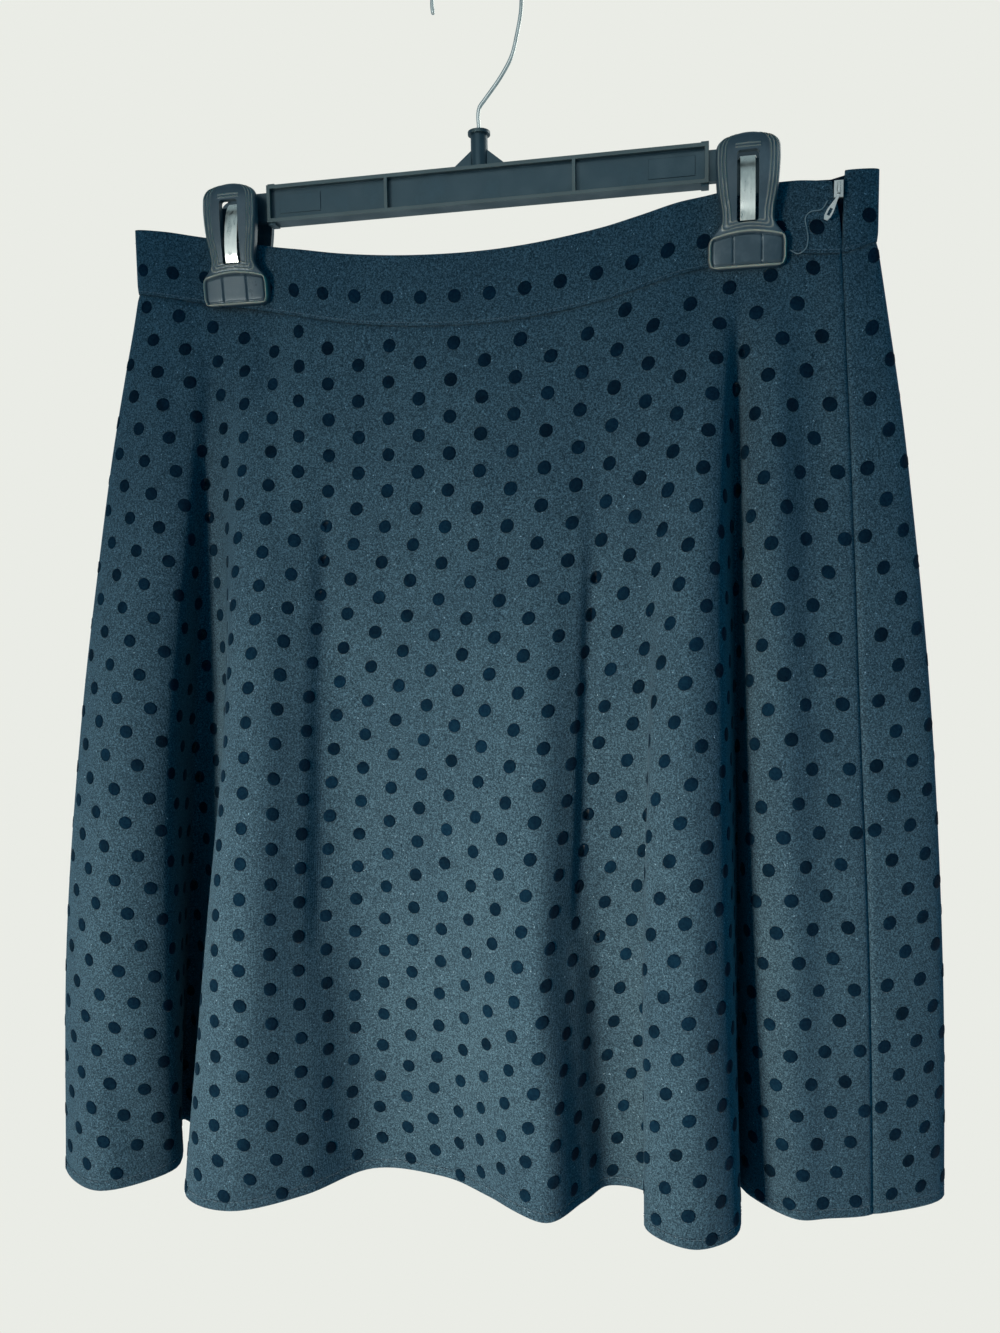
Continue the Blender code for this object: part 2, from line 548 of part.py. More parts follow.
def zip_slider(material):
    """The slider's body with the bridge that carries the pull tab."""
    middle = bar_frame(ZIP_AT)
    half = Vector(SLIDER_SIZE) / 2
    body = box_object("zip_slider", middle - half, middle + half, material)
    bridge_half = Vector(BRIDGE_SIZE) / 2
    for low, high in ((-1.0, -0.5), (0.5, 1.0)):
        z_low, z_high = sorted((low * bridge_half.z, high * bridge_half.z))
        post = box_object("post", (middle.x - bridge_half.x, middle.y - half.y - BRIDGE_SIZE[1], middle.z + z_low),
                          (middle.x + bridge_half.x, middle.y, middle.z + z_high))
        combine(body, post, "UNION")
    back = middle.y - half.y - BRIDGE_SIZE[1]
    rail = box_object("rail", (middle.x - bridge_half.x, back - RAIL_THICK, middle.z - bridge_half.z),
                      (middle.x + bridge_half.x, back, middle.z + bridge_half.z))
    combine(body, rail, "UNION")
    clean_mesh(body)
    one_material(body, material)
    return body


def zip_pull_tab(material):
    """The teardrop tab, hanging from its hinge and leaning to the left as shown."""
    profile = [(x * MM, z * MM) for x, z in TAB_PROFILE]
    profile += [(-x, z) for x, z in reversed(profile)]
    verts = [(x, side * TAB_THICK / 2, z) for side in (-1, 1) for x, z in profile]
    count = len(profile)
    faces = [tuple(range(count)), tuple(range(count, 2 * count))]
    faces += [(k, (k + 1) % count, count + (k + 1) % count, count + k) for k in range(count)]
    tab = new_object("zip_pull_tab", verts, faces, material)
    half, low, high = TAB_HOLE
    hole = box_object("tab_hole", (-half, -TAB_THICK, low), (half, TAB_THICK, high))
    combine(tab, hole, "DIFFERENCE")
    clean_mesh(tab)
    one_material(tab, material)
    tab.data.transform(Matrix.Rotation(TAB_LEAN, 4, "Y"))
    tab.location = bar_frame(TAB_HINGE)
    return tab


def main():
    for obj in list(bpy.data.objects):
        bpy.data.objects.remove(obj)
    skirt = skirt_grid(SKIRT_ROWS)
    even = [GAP / 2] * (SKIRT_ROWS + 1)
    front = panel_columns(LEFT_SEAM, RIGHT_SEAM)
    back = panel_columns(RIGHT_SEAM, LEFT_SEAM)
    cloth_panel("skirt_front", skirt, front, SKIRT_WALL, make_material("skirt_front", CLOTH, 0.9), (even, even))
    cloth_panel("skirt_back", skirt, back, SKIRT_WALL, make_material("skirt_back", CLOTH, 0.9), (even, even))
    rise = [(j / BAND_ROWS) ** 2 for j in range(BAND_ROWS + 1)]
    plain = [GAP / 2] * (BAND_ROWS + 1)
    open_front = [GAP / 2 + ZIP_OPENING[0] * r for r in rise]
    open_back = [GAP / 2 + ZIP_OPENING[1] * r for r in rise]
    cloth_panel("waistband_front", band_grid(BAND_ROWS, FRONT_TOP), front, BAND_WALL,
                make_material("waistband_front", CLOTH, 0.9), (plain, open_front))
    cloth_panel("waistband_back", band_grid(BAND_ROWS, BACK_TOP), back, BAND_WALL,
                make_material("waistband_back", CLOTH, 0.9), (open_back, plain))
    hanger_bar(make_material("hanger_bar", BAR_PLASTIC, 0.35))
    tube("hanger_hook", hook_path(), WIRE_RADIUS, WIRE_SIDES, make_material("hanger_hook", WIRE_STEEL, 0.25, 1.0))
    for label, side_x in (("left", -CLIP_X), ("right", CLIP_X)):
        for face, side in (("front", -1), ("back", 1)):
            name = f"{label}_clip_{face}_jaw"
            clip_jaw(name, side_x, side, make_material(name, CLIP_PLASTIC, 0.4))
        name = f"{label}_clip_spring"
        clip_spring(name, side_x, make_material(name, SPRING_STEEL, 0.25, 1.0))
    zip_slider(make_material("zip_slider", ZIP_METAL, 0.25, 1.0))
    zip_pull_tab(make_material("zip_pull_tab", ZIP_METAL, 0.25, 1.0))


main()
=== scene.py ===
"""Looks of the polka-dot skater skirt on its clip hanger.

Metres, +Z up, front to -Y. Tables are in millimetres, heights from the top of the hanger's bar,
as in the part's own source, whose cloth form is repeated here on a finer grid.
"""
import math
import random

import bmesh
import bpy
import numpy as np
from mathutils import Matrix, Vector


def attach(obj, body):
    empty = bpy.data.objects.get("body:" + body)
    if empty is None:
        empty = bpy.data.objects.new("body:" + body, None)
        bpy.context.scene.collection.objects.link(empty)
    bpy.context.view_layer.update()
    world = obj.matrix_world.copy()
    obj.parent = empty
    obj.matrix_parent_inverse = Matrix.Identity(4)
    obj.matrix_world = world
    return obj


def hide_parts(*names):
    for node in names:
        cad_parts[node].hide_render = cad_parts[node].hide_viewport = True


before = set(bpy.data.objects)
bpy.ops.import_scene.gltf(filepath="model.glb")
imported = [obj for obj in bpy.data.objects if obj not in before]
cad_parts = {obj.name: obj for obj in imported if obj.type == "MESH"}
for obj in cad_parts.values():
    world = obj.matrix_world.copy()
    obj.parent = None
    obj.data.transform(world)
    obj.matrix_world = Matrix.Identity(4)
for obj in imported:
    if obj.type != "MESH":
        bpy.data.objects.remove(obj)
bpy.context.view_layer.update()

MM = 0.001
ROOT = "skirt_and_hanger"
TAB_BODY = "pull_tab"
HOOK_RISE = 110.2 * MM

# Camera, fitted to the hanger's and the waist's corners in the photo
CAMERA_AT = (0.1280, -0.5710, -0.3219)
CAMERA_YAW = math.radians(12.01)
CAMERA_PITCH = math.radians(5.88)
CAMERA_ROLL = math.radians(0.99)
FOCAL_PIXELS = 1032.8
PHOTO_HEIGHT = 1333.0
SENSOR = 36.0
NEAR_CLIP = 0.05

# Cloth form, as in the part's source
HEM_Z = -574.0 * MM
SEAM_GAP = 0.3 * MM
LEVELS = (0.0, 0.20, 0.46, 0.73, 1.0)
FOLD_START = 0.09
BAND_EDGES = (
    # x, front_top, back_top, seam
    (-206, -17, -17, -53),
    (-170, -23.2, -23.2, -60),
    (-125, -32, -32, -68),
    (-80, -41.5, -41.5, -78.5),
    (-33, -46.6, -46.6, -84),
    (15, -46.8, -46.8, -84.6),
    (68, -39.6, -39.6, -76.8),
    (118, -26.5, -26.5, -62.5),
    (165, -22.6, -21, -58.4),
    (190, -26.6, -20.6, -60.2),
    (206, -26.6, -20, -54.5),
)
FRONT_TOP, BACK_TOP, SEAM = 1, 2, 3  # its columns
BAND_LEAN = 0.12
FOLDS = (
    # name, then x and y at the seam, the upper, middle and lower levels and the hem
    ("left_seam", -205, 3, -226, 2, -245, -6, -257, -18, -262, -30),
    ("left_outline", -204.5, -3.5, -226.5, -8, -245.5, -20, -256, -34, -256, -49),
    ("left_ridge", -186, -7, -194, -18, -211, -36, -218, -53, -224, -64),
    ("left_ridge_end", -168, -4, -174, -13, -187, -24, -190, -34, -191, -35),
    ("left_valley", -157, -3.3, -169, -1, -186, 9, -201, 15, -215, 16),
    ("front_edge_in", -146, -3.3, -155, -6, -165, 1, -177, -1, -189, -6),
    ("front_edge", -134, -3.3, -141, -17, -144, -36, -157, -50, -171, -60),
    ("front_ridge", -120, -3.6, -124, -21, -122, -43, -130, -59, -140, -68),
    ("front_slope", -97, -10, -104, -20, -104, -33, -106, -41, -104, -46),
    ("left_hollow", -76, -12, -84, -17, -86, -20, -80, -18, -74, -14),
    ("middle_flat", -36, -14, -42, -19, -40, -20, -38, -17, -32, -14),
    ("middle_ridge", 2, -15, 2, -22, 1, -27, 0, -28, 1, -28),
    ("second_ridge", 36, -14, 35, -23, 35, -33, 34, -42, 37, -46),
    ("crease_left", 54, -13, 54, -20, 51, -24, 50, -25, 55, -23),
    ("crease_valley", 66, -12, 65, -17, 60, -17, 62, -12, 66, -6),
    ("crease_right", 80, -11, 78, -18, 76, -18, 77, -12, 82, -5),
    ("fold_tuck", 92, -9, 93, -19, 91, -22, 90, -18, 93, -12),
    ("fold_edge", 106, -7, 104, -22, 95.5, -34, 91, -41, 91, -41),
    ("fold_ridge", 119, -3.5, 118, -26, 113, -43, 115, -52, 117, -53.5),
    ("fold_right", 131, -3.3, 128, -21, 129, -33, 132.5, -38, 139, -37),
    ("right_valley", 138, -3.3, 136.5, -2, 137.5, 4, 139, 8, 140, 9),
    ("right_rise", 146, -3.3, 143.5, -11, 144.5, -11, 145.5, -8, 147, -1),
    ("right_ridge", 157, -3.3, 156, -18, 160, -21, 166, -21, 171, -18),
    ("clip_valley", 168, -4.2, 172, -10, 179, -13, 184, -14, 188, -14),
    ("right_seam", 188, -7.6, 194, -9, 201, -9, 208.5, -8, 213, -6),
    ("right_outline", 205, -2, 222, 3, 238, 8, 248, 13, 254, 19),
    ("back_first", 196, 7, 210, 17, 224, 28, 236, 38, 243, 46),
    ("back_first_top", 180, 6, 192, 24, 202, 40, 210, 54, 214, 63),
    ("back_first_in", 160, 3.4, 166, 15, 170, 20, 174, 22, 176, 23),
    ("back_second", 140, 3.3, 141, 20, 143, 36, 146, 48, 150, 57),
    ("back_second_side", 122, 3.6, 122, 22, 121, 36, 122, 47, 124, 55),
    ("back_hollow", 96, 8.5, 92, 17, 88, 21, 86, 22, 84, 22),
    ("back_third", 62, 12.5, 56, 25, 52, 36, 50, 46, 50, 54),
    ("back_third_side", 36, 14, 32, 26, 28, 37, 26, 46, 24, 52),
    ("back_middle_in", 4, 14.5, -2, 20, -6, 22, -8, 23, -10, 25),
    ("back_fourth", -34, 14, -38, 27, -42, 41, -46, 54, -50, 64),
    ("back_fourth_side", -58, 12.5, -64, 26, -70, 39, -76, 51, -82, 60),
    ("back_fourth_in", -90, 9.5, -98, 18, -106, 26, -112, 32, -116, 36),
    ("back_fifth", -122, 3.6, -134, 21, -146, 38, -154, 54, -158, 66),
    ("back_fifth_side", -142, 3.3, -156, 22, -172, 40, -182, 56, -188, 68),
    ("back_fifth_in", -162, 3.5, -184, 16, -204, 29, -216, 42, -222, 50),
    ("back_left", -190, 7.5, -212, 13, -234, 18, -248, 20, -256, 18),
)
FOLD_NAMES = [row[0] for row in FOLDS]
LEFT_SEAM = FOLD_NAMES.index("left_seam")
RIGHT_SEAM = FOLD_NAMES.index("right_seam")
ZIP_OPENING = (5.4 * MM, 0.8 * MM)

# Finer grids and thin shells
FINE = 10
ROW_SHARES = np.concatenate([np.linspace(0.0, 0.972, 132), np.linspace(0.972, 1.0, 22)[1:]])
SKIRT_ROWS = len(ROW_SHARES) - 1  # finer towards the hem
BAND_ROWS = 16
SHELL = 1.0 * MM
BAND_SHELL = 1.8 * MM
HEM_DEPTH = 11.0 * MM
HEM_EXTRA = 0.7 * MM
HEM_ROUND = 0.45  # the share of its thickness left at its very edge
HEM_STITCH = 5.4 * MM
HEM_GROOVE = (0.45 * MM, 0.9 * MM)  # depth and width of the line the stitches pull in
BAND_STITCH = 1.6 * MM
HEM_THREAD = (2.5, 0.8, 0.16)  # a stitch, the gap after it and the thread's radius
BAND_THREAD = (2.3, 0.7, 0.15)

# Soft marks pressed into the cloth: from and to in x and height, width, depth (+ is a ridge)
SOFT_MARKS = (
    # panel, x0, z0, x1, z1, width, depth
    ("front", 4, -120, 3, -560, 7, 1.6),
    ("front", 17, -330, 13, -570, 8, 1.4),
    ("front", -88, -170, -84, -300, 6, -1.2),
    ("front", -225, -470, -200, -570, 12, -2.6),
    ("front", -190, -75, -176, -150, 9, -1.8),
    ("front", -128, -75, -112, -190, 8, -1.6),
    ("front", -60, -90, -52, -260, 12, -0.9),
    ("front", 50, -90, 56, -200, 12, -0.8),
    ("front", 96, -80, 100, -190, 8, 1.2),
    ("front", 178, -65, 182, -170, 7, -1.4),
    ("front", -24, -420, -20, -570, 14, -1.6),
    ("front", 62, -215, 53, -420, 4, -2.4),
    ("front", -90, -190, -96, -430, 5, -2),
    ("front", 44, -400, 30, -560, 8, -1.4),
    ("back", 110, -80, 104, -210, 9, -1.2),
    ("back", -70, -90, -78, -330, 10, 1.2),
    ("back", 20, -100, 14, -360, 11, 1.2),
    ("back", -150, -80, -172, -260, 9, -1.4),
    ("back", 170, -90, 182, -300, 9, 1.3),
    ("back", -200, -420, -214, -560, 11, -2),
)
MARK_FADE = 26.0 * MM
RIPPLES = (
    # waves round the skirt, turns down it, phase, size
    (9, 1.3, 0.4, 0.5), (14, 2.1, 1.9, 0.4), (23, 3.2, 4.1, 0.28), (37, 4.6, 2.2, 0.16),
)
RIPPLE_SIZE = 0.55 * MM

# Beside the zip
TAPE_COLUMNS = 4
TAPE_SET = 1.5 * MM
TAPE_THICK = 0.4 * MM
LOOSE_RADIUS = 0.28 * MM
LOOSE_THREAD = (
    # x, y, height
    (180.7, -8.4, -34.9), (177.9, -7.6, -38.6), (172.3, -6.7, -39.3), (170.1, -6.4, -41.7),
    (170.8, -6.5, -46.9), (171.5, -6.7, -52.2), (170.6, -6.6, -56.7), (167, -6.2, -59.1),
    (162.5, -5.7, -56.8),
)

# Lint: panel, shell, count
LINT = (("front", SHELL, 60), ("back", SHELL, 50), ("band_front", BAND_SHELL, 10))
LINT_RISE = 0.22 * MM
LINT_RADIUS = 0.09 * MM

# Dots, laid out on the flat cut
DOT_PITCH = 19.8 * MM
DOT_RADIUS = 3.85 * MM
DOT_SIDES = 12
DOT_RISE = 0.30 * MM
DOT_RINGS = ((1.0, 0.02 * MM), (0.93, DOT_RISE * 0.8), (0.72, DOT_RISE))
DOT_PROBE = 1.2 * MM  # how far round a dot the cloth's stretch is measured
PANEL_TURN = 0.92  # angle of each flat skirt panel, in radians
FRONT_PHASE = (0.0, 0.0)
BACK_PHASE = (0.37, 0.61)
BAND_PITCH = (19.2 * MM, 19.8 * MM)
BAND_PHASE = (0.0, 2.8 * MM)

# Clip jaws: height, half width, outer face, inner face
CLIP_X = 141.5 * MM
JAW_ROWS = (
    # height, half_width, outer, inner
    (1, 10.5, 12.2, 10.4),
    (-0.8, 13.2, 13.2, 10.2),
    (-4, 15.2, 14, 10),
    (-10, 15.9, 14.6, 9.8),
    (-20, 15.6, 14.8, 9.4),
    (-30, 14.6, 14.2, 8.8),
    (-38, 13.4, 13.2, 8.2),
    (-43, 13.6, 12.4, 7.8),
    (-46, 15.4, 11.8, 7.4),
    (-49, 18.2, 11.4, 6.6),
    (-52, 19.5, 11, 5.5),
    (-57, 19.7, 10.4, 5.1),
    (-62, 19.3, 9.8, 5.2),
    (-64.2, 17.6, 9.4, 5.4),
    (-65, 15, 9, 5.6),
)
SLOT_HALF = 5.4
SLOT_Z = (-43.0, -8.5)
SLOT_REACH = (4.0, 22.0)
PAD_TOP = -46.4
PAD_ARCH = 2.8  # how far the pad's top edge falls towards its sides
JAW_ARCH = 2.2  # the same for the jaw's own top edge
ARCH_REACH = 9.0
JAW_STEP = 0.4
JAW_COLUMNS = 88
JAW_CROWN = 1.1
JAW_EDGE = 1.2  # how far in its edges are rounded
SLOT_CORNER = 1.6
RIDGES = (1.3, 3.0, 4.7)  # nested lines, inward from the jaw's outline and the pad
RIDGE_SIZE = (0.46, 0.27)  # height and width
RIDGE_CORNER = 6.0
RIDGE_STEP = 0.25
# how strongly the ridges' crests take the painted highlight
RIDGE_HIGHLIGHT = 0.55
LEDGES = (-6.9, -5.3)  # short lines just above the slot
LEDGE_HALF = 6.2
# the mask of painted highlights on the plastic's crests, rim and edges
PAINTED_HIGHLIGHT_MARKS = "Painted highlight"
HIGHLIGHT_EDGES_FROM = 5.1 * MM  # the bar's edges further out than this get a painted highlight
PAD_RIM = 0.9  # middle of the rim, inward from the pad's edge
PAD_RAISED = (0.60, 0.42)
PAD_CORNER = 2.0
PAD_MOAT = 1.3  # the groove inside the rim, from its middle
PAD_SUNK = 0.60
PAD_GROOVES = (-7.2, 7.2)
GROOVE_SIZE = (0.55, 0.34)  # depth and width
SPRING_HALVES = (3.7, 5.0)  # half its width in front and behind
SPRING_THICK = 0.8
SPRING_FOLD = 0.35  # how far its folded and stepped ends stand out
SPRING_STEPS = 90
SPRING_PATH = (
    # depth, height
    (11, -42), (12.2, -38), (12, -30), (10.4, -20), (7.6, -12.5), (3.4, -8.4),
    (-3.4, -8.4), (-7.6, -12.5), (-10.4, -20), (-12, -30), (-12.2, -38), (-11, -42),
)
CORE_HALF = (8.5 * MM, 3.9 * MM)  # the block between a clip's jaws, half its width and depth
CORE_Z = (-27.0 * MM, -9.8 * MM)
CORE_FACES = ((0, 1, 3, 2), (4, 6, 7, 5), (0, 4, 5, 1), (2, 3, 7, 6), (0, 2, 6, 4), (1, 5, 7, 3))

# Hook
WIRE_RADIUS = 1.05 * MM
CROOK_RADIUS = 24.6 * MM
CROOK_START = -8.0
CROOK_SWEEP = 200.0
CROOK_STEPS = 72
NECK_STEPS = 46
HOOK_NECK = (
    # x, height
    (0, 8), (0, 20), (-0.2, 28.5), (0.6, 31.5), (3.2, 34.6), (12.4, 45.6), (18.6, 55.6), (21.6, 66),
    (23.9, 77), (24.36, 82.83),
)

# Seams sink a little into the cloth
SEAM_SINK = 0.7 * MM
SEAM_SOFT = 2.6 * MM
EDGE_SINK = 0.5 * MM
EDGE_SOFT = 2.4 * MM

# Colours, linear
KNIT_DARK = (0.014, 0.028, 0.038)
KNIT_LIGHT = (0.058, 0.098, 0.118)
KNIT_FLECK = (0.16, 0.22, 0.25)
KNIT_SHEEN = (0.55, 0.72, 0.80)
THREAD_DARK = (0.030, 0.052, 0.068)
THREAD_LIGHT = (0.085, 0.125, 0.150)
FLOCK_DARK = (0.0010, 0.0065, 0.014)
FLOCK_LIGHT = (0.0035, 0.016, 0.026)
BAR_TONE = (0.012, 0.026, 0.034)
BAR_WORN = (0.034, 0.056, 0.066)
# painted highlight on the bar's front and back edges
BAR_PAINTED_HIGHLIGHT = (0.085, 0.078, 0.062)
BAR_SHINE = (0.62, 0.90, 1.0, 1.0)
JAW_TONE = (0.024, 0.040, 0.050)
JAW_WORN = (0.075, 0.092, 0.100)
# painted highlight on the jaws' ridge crests and pad rim
JAW_PAINTED_HIGHLIGHT = (0.62, 0.46, 0.31)
JAW_SHINE = (0.80, 0.95, 1.0, 1.0)
WIRE_TONE = (0.62, 0.66, 0.64)
STRIP_TONE = (0.66, 0.70, 0.66)
ZIP_TONE = (0.38, 0.42, 0.42)
LOOSE_TONE = (0.16, 0.19, 0.19)
LINT_TONE = (0.45, 0.55, 0.58)
WALL_TONE = (0.823, 0.839, 0.791)
ROOM_LIGHT = (0.0, 0.56, 1.0)  # the photo's shadows hold no red
ROOM_STRENGTH = 0.42
ROOM_MIRRORED = (0.32, 0.42, 0.46)  # what glossy surfaces show of the room
KEY_LIGHT = (1.0, 0.97, 0.90)
LIGHTS = (
    # name, place, target, size, power, colour, spread in degrees, lights matt surfaces
    ("Key", (-0.74, -1.29, -0.62), (0.01, 0.0, -0.57), (0.36, 0.45), 2.1, KEY_LIGHT, 35.0, True),
    ("Card", (-0.30, -1.40, 0.31), (-0.10, 0.0, -0.14), (1.4, 0.5), 3.0, (1.0, 1.0, 1.0), 180.0, False),
    ("Back", (1.5, 1.4, 0.5), (0.0, 0.0, -0.4), (1.2, 1.2), 15.0, KEY_LIGHT, 180.0, True),
)
FLOOR = (-1.6, 1.8, -2.2, 0.62, -1.75)  # x from and to, y from and to, height
FLOOR_BASE = (0.02, 0.02, 0.02)
FLOOR_GLOW = 0.96  # keeps it as pale as the wall under the blue room light

random.seed(7)


def eased(u, low, high, start, end):
    """A cubic from one value to another; start and end are the slopes there, times the step."""
    return ((1 + 2 * u) * (1 - u) ** 2 * low + u * (1 - u) ** 2 * start
            + u * u * (3 - 2 * u) * high + u * u * (u - 1) * end)


def smooth_values(knots, values, at):
    """Values that pass smoothly through the knots; `values` may carry more axes."""
    values = np.asarray(values, float)
    steps = np.diff(np.asarray(knots, float))
    rise = np.diff(values, axis=0) / steps.reshape((-1,) + (1,) * (values.ndim - 1))
    slope = np.concatenate([rise[:1], (rise[1:] + rise[:-1]) / 2, rise[-1:]])
    low = int(np.clip(np.searchsorted(knots, at) - 1, 0, len(knots) - 2))
    width = steps[low]
    u = (at - knots[low]) / width
    return eased(u, values[low], values[low + 1], width * slope[low], width * slope[low + 1])


def ring(points, columns):
    """A smooth closed curve through the points, with an equal number of columns between them."""
    count = len(points)
    out = []
    for i in range(count):
        a, b, c, d = (points[(i + k) % count] for k in (-1, 0, 1, 2))
        before, step, after = (max(np.linalg.norm(q - p), 1e-6) ** 0.5 for p, q in ((a, b), (b, c), (c, d)))
        start = (b - a) / before - (c - a) / (before + step) + (c - b) / step
        end = (c - b) / step - (d - b) / (step + after) + (d - c) / after
        out += [eased(k / columns, b, c, step * start, step * end) for k in range(columns)]
    return np.array(out)


def run_along(line):
    """The distance along a line at each of its points."""
    return np.concatenate([[0], np.cumsum(np.linalg.norm(np.diff(line, axis=0), axis=1))])


def directions(line):
    """A line's unit direction at each of its points."""
    along = np.concatenate([line[1:], line[-1:]]) - np.concatenate([line[:1], line[:-1]])
    return along / np.linalg.norm(along, axis=1)[:, None]


def edge_height(x, column):
    """Height of one of the band's edges at one x."""
    xs, zs = ([row[k] * MM for row in BAND_EDGES] for k in (0, column))
    return float(smooth_values(xs, zs, min(max(x, xs[0]), xs[-1])))


def settled(t):
    """0 at the band seam, 1 a little below it."""
    u = min(t / FOLD_START, 1.0)
    return u * u * (3 - 2 * u)


FOLD_PLAN = np.array([row[1:] for row in FOLDS]).reshape(-1, len(LEVELS), 2) * MM
SEAM_RING = ring(FOLD_PLAN[:, 0], FINE)
COLUMNS = len(SEAM_RING)


def skirt_grid():
    """The skirt's middle surface, rows from the band seam to the hem."""
    grid = np.zeros((SKIRT_ROWS + 1, COLUMNS, 3))
    tops = np.array([edge_height(x, SEAM) for x, _ in SEAM_RING]) - SEAM_GAP
    for j, t in enumerate(ROW_SHARES):
        plan = smooth_values(LEVELS, FOLD_PLAN.transpose(1, 0, 2), t)
        soft = smooth_values(LEVELS, FOLD_PLAN.transpose(1, 0, 2), t * settled(t))
        plan[:, 1] = soft[:, 1]
        grid[j, :, :2] = ring(plan, FINE)
        grid[j, :, 2] = tops + (HEM_Z - tops) * t - HOOK_RISE
    return grid


def band_grid(edge):
    """The waistband's middle surface, rows from its seam to the front's or the back's top."""
    low = np.array([edge_height(x, SEAM) for x, _ in SEAM_RING])
    high = np.array([edge_height(x, edge) for x, _ in SEAM_RING])
    grid = np.zeros((BAND_ROWS + 1, COLUMNS, 3))
    for j in range(BAND_ROWS + 1):
        h = j / BAND_ROWS
        grid[j, :, 0] = SEAM_RING[:, 0]
        grid[j, :, 1] = SEAM_RING[:, 1] * (1.0 - BAND_LEAN * h)
        grid[j, :, 2] = low + (high - low) * h - HOOK_RISE
    return grid


def grid_normals(grid):
    """Unit normals of a grid that closes on itself along its columns, pointing outwards."""
    across = np.roll(grid, -1, axis=1) - np.roll(grid, 1, axis=1)
    along = np.gradient(grid, axis=0)
    normal = np.cross(across, along)
    normal /= np.linalg.norm(normal, axis=2, keepdims=True)
    middle = grid[:, :, :2].mean(axis=(0, 1))
    outward = ((grid[:, :, :2] - middle) * normal[:, :, :2]).sum()
    return normal if outward > 0 else -normal


def panel_columns(start, end):
    """Column numbers from one fold line to another, going round the ring."""
    first, last = start * FINE, end * FINE
    if last <= first:
        last += COLUMNS
    return [i % COLUMNS for i in range(first, last + 1)]


def press_marks(grid, normal, columns, panel):
    """Push the soft marks of one panel along its normals; none reaches the panel's edges."""
    points = grid[:, columns]
    push = np.zeros(points.shape[:2])
    for _, x0, z0, x1, z1, width, depth in [row for row in SOFT_MARKS if row[0] == panel]:
        start, end = (np.array([x * MM, z * MM - HOOK_RISE]) for x, z in ((x0, z0), (x1, z1)))
        length = np.linalg.norm(end - start)
        along = (end - start) / length
        rel = points[:, :, [0, 2]] - start
        run = rel @ along
        off = rel[:, :, 0] * along[1] - rel[:, :, 1] * along[0]
        fade = 1 / (1 + np.exp(-run / MARK_FADE * 4)) * 1 / (1 + np.exp((run - length) / MARK_FADE * 4))
        push += depth * MM * fade * np.exp(-(off / (width * MM)) ** 2)
    places = np.arange(len(columns))
    push *= np.clip(np.minimum(places, places[::-1]) / (0.6 * FINE), 0, 1)
    grid[:, columns] += normal[:, columns] * push[:, :, None]


def add_ripple(grid, normal):
    """A faint unevenness, as hanging knit has, the same on every run."""
    t = ROW_SHARES[:, None]
    turn = np.linspace(0, 2 * np.pi, grid.shape[1], endpoint=False)[None]
    wave = 0.0
    for waves, down, phase, size in RIPPLES:
        wave = wave + size * np.sin(waves * turn + phase + down * t * 2.2) * np.cos(down * 3.1 * t + phase)
    grid += normal * (wave * RIPPLE_SIZE * np.clip(t * 6, 0, 1))[:, :, None]


def mesh_object(name, verts, faces, material, smooth=True, uv=None, closed=True):
    """A mesh object, its faces outward where it is closed; uv gives one pair for each vertex."""
    mesh = bpy.data.meshes.new(name)
    mesh.from_pydata(np.asarray(verts, float).tolist(), [], faces)
    mesh.materials.append(material)
    if uv is not None:
        layer = mesh.uv_layers.new(name="Cut")
        loops = np.zeros(len(mesh.loops), dtype=np.int32)
        mesh.loops.foreach_get("vertex_index", loops)
        layer.data.foreach_set("uv", np.asarray(uv, np.float32)[loops].ravel())
    mesh.polygons.foreach_set("use_smooth", [smooth] * len(mesh.polygons))
    if closed:
        work = bmesh.new()
        work.from_mesh(mesh)
        bmesh.ops.recalc_face_normals(work, faces=work.faces)
        work.to_mesh(mesh)
        work.free()
    mesh.update()
    obj = bpy.data.objects.new(name, mesh)
    bpy.context.collection.objects.link(obj)
    return obj


def ring_faces(low, rings, sides):
    """Faces between successive rings of vertices, the first of which is `low`."""
    return [(start + k, start + (k + 1) % sides, start + sides + (k + 1) % sides, start + sides + k)
            for start in range(low, low + (rings - 1) * sides, sides) for k in range(sides)]


def circle_points(sides):
    """Evenly spaced points of a unit circle."""
    turns = [2 * math.pi * k / sides for k in range(sides)]
    return [(math.cos(turn), math.sin(turn)) for turn in turns]


def add_tube(verts, faces, stations, sides):
    """Add a closed round tube; each station is a centre, two side directions and a radius."""
    low = len(verts)
    circle = circle_points(sides)
    verts += [centre + (u * x + v * y) * radius for centre, u, v, radius in stations for x, y in circle]
    faces += ring_faces(low, len(stations), sides)
    faces += [tuple(range(low, low + sides)), tuple(range(len(verts) - sides, len(verts)))]


def slab_mesh(name, outer, inner, material, uv=None):
    """A closed shell between two grids of the same size."""
    rows, columns = outer.shape[:2]
    back = rows * columns
    faces = []
    for j in range(rows - 1):
        for a in range(j * columns, (j + 1) * columns - 1):
            b, c, d = a + 1, a + columns + 1, a + columns
            faces += [(a, b, c, d), (back + d, back + c, back + b, back + a)]
    rim = list(range(columns))
    rim += [j * columns + columns - 1 for j in range(1, rows)]
    rim += [(rows - 1) * columns + i for i in range(columns - 2, -1, -1)]
    rim += [j * columns for j in range(rows - 2, 0, -1)]
    faces += [(b, a, back + a, back + b) for a, b in zip(rim, rim[1:] + rim[:1])]
    both = None if uv is None else np.concatenate([uv.reshape(-1, 2)] * 2)
    verts = np.concatenate([outer.reshape(-1, 3), inner.reshape(-1, 3)])
    return mesh_object(name, verts, faces, material, True, both)


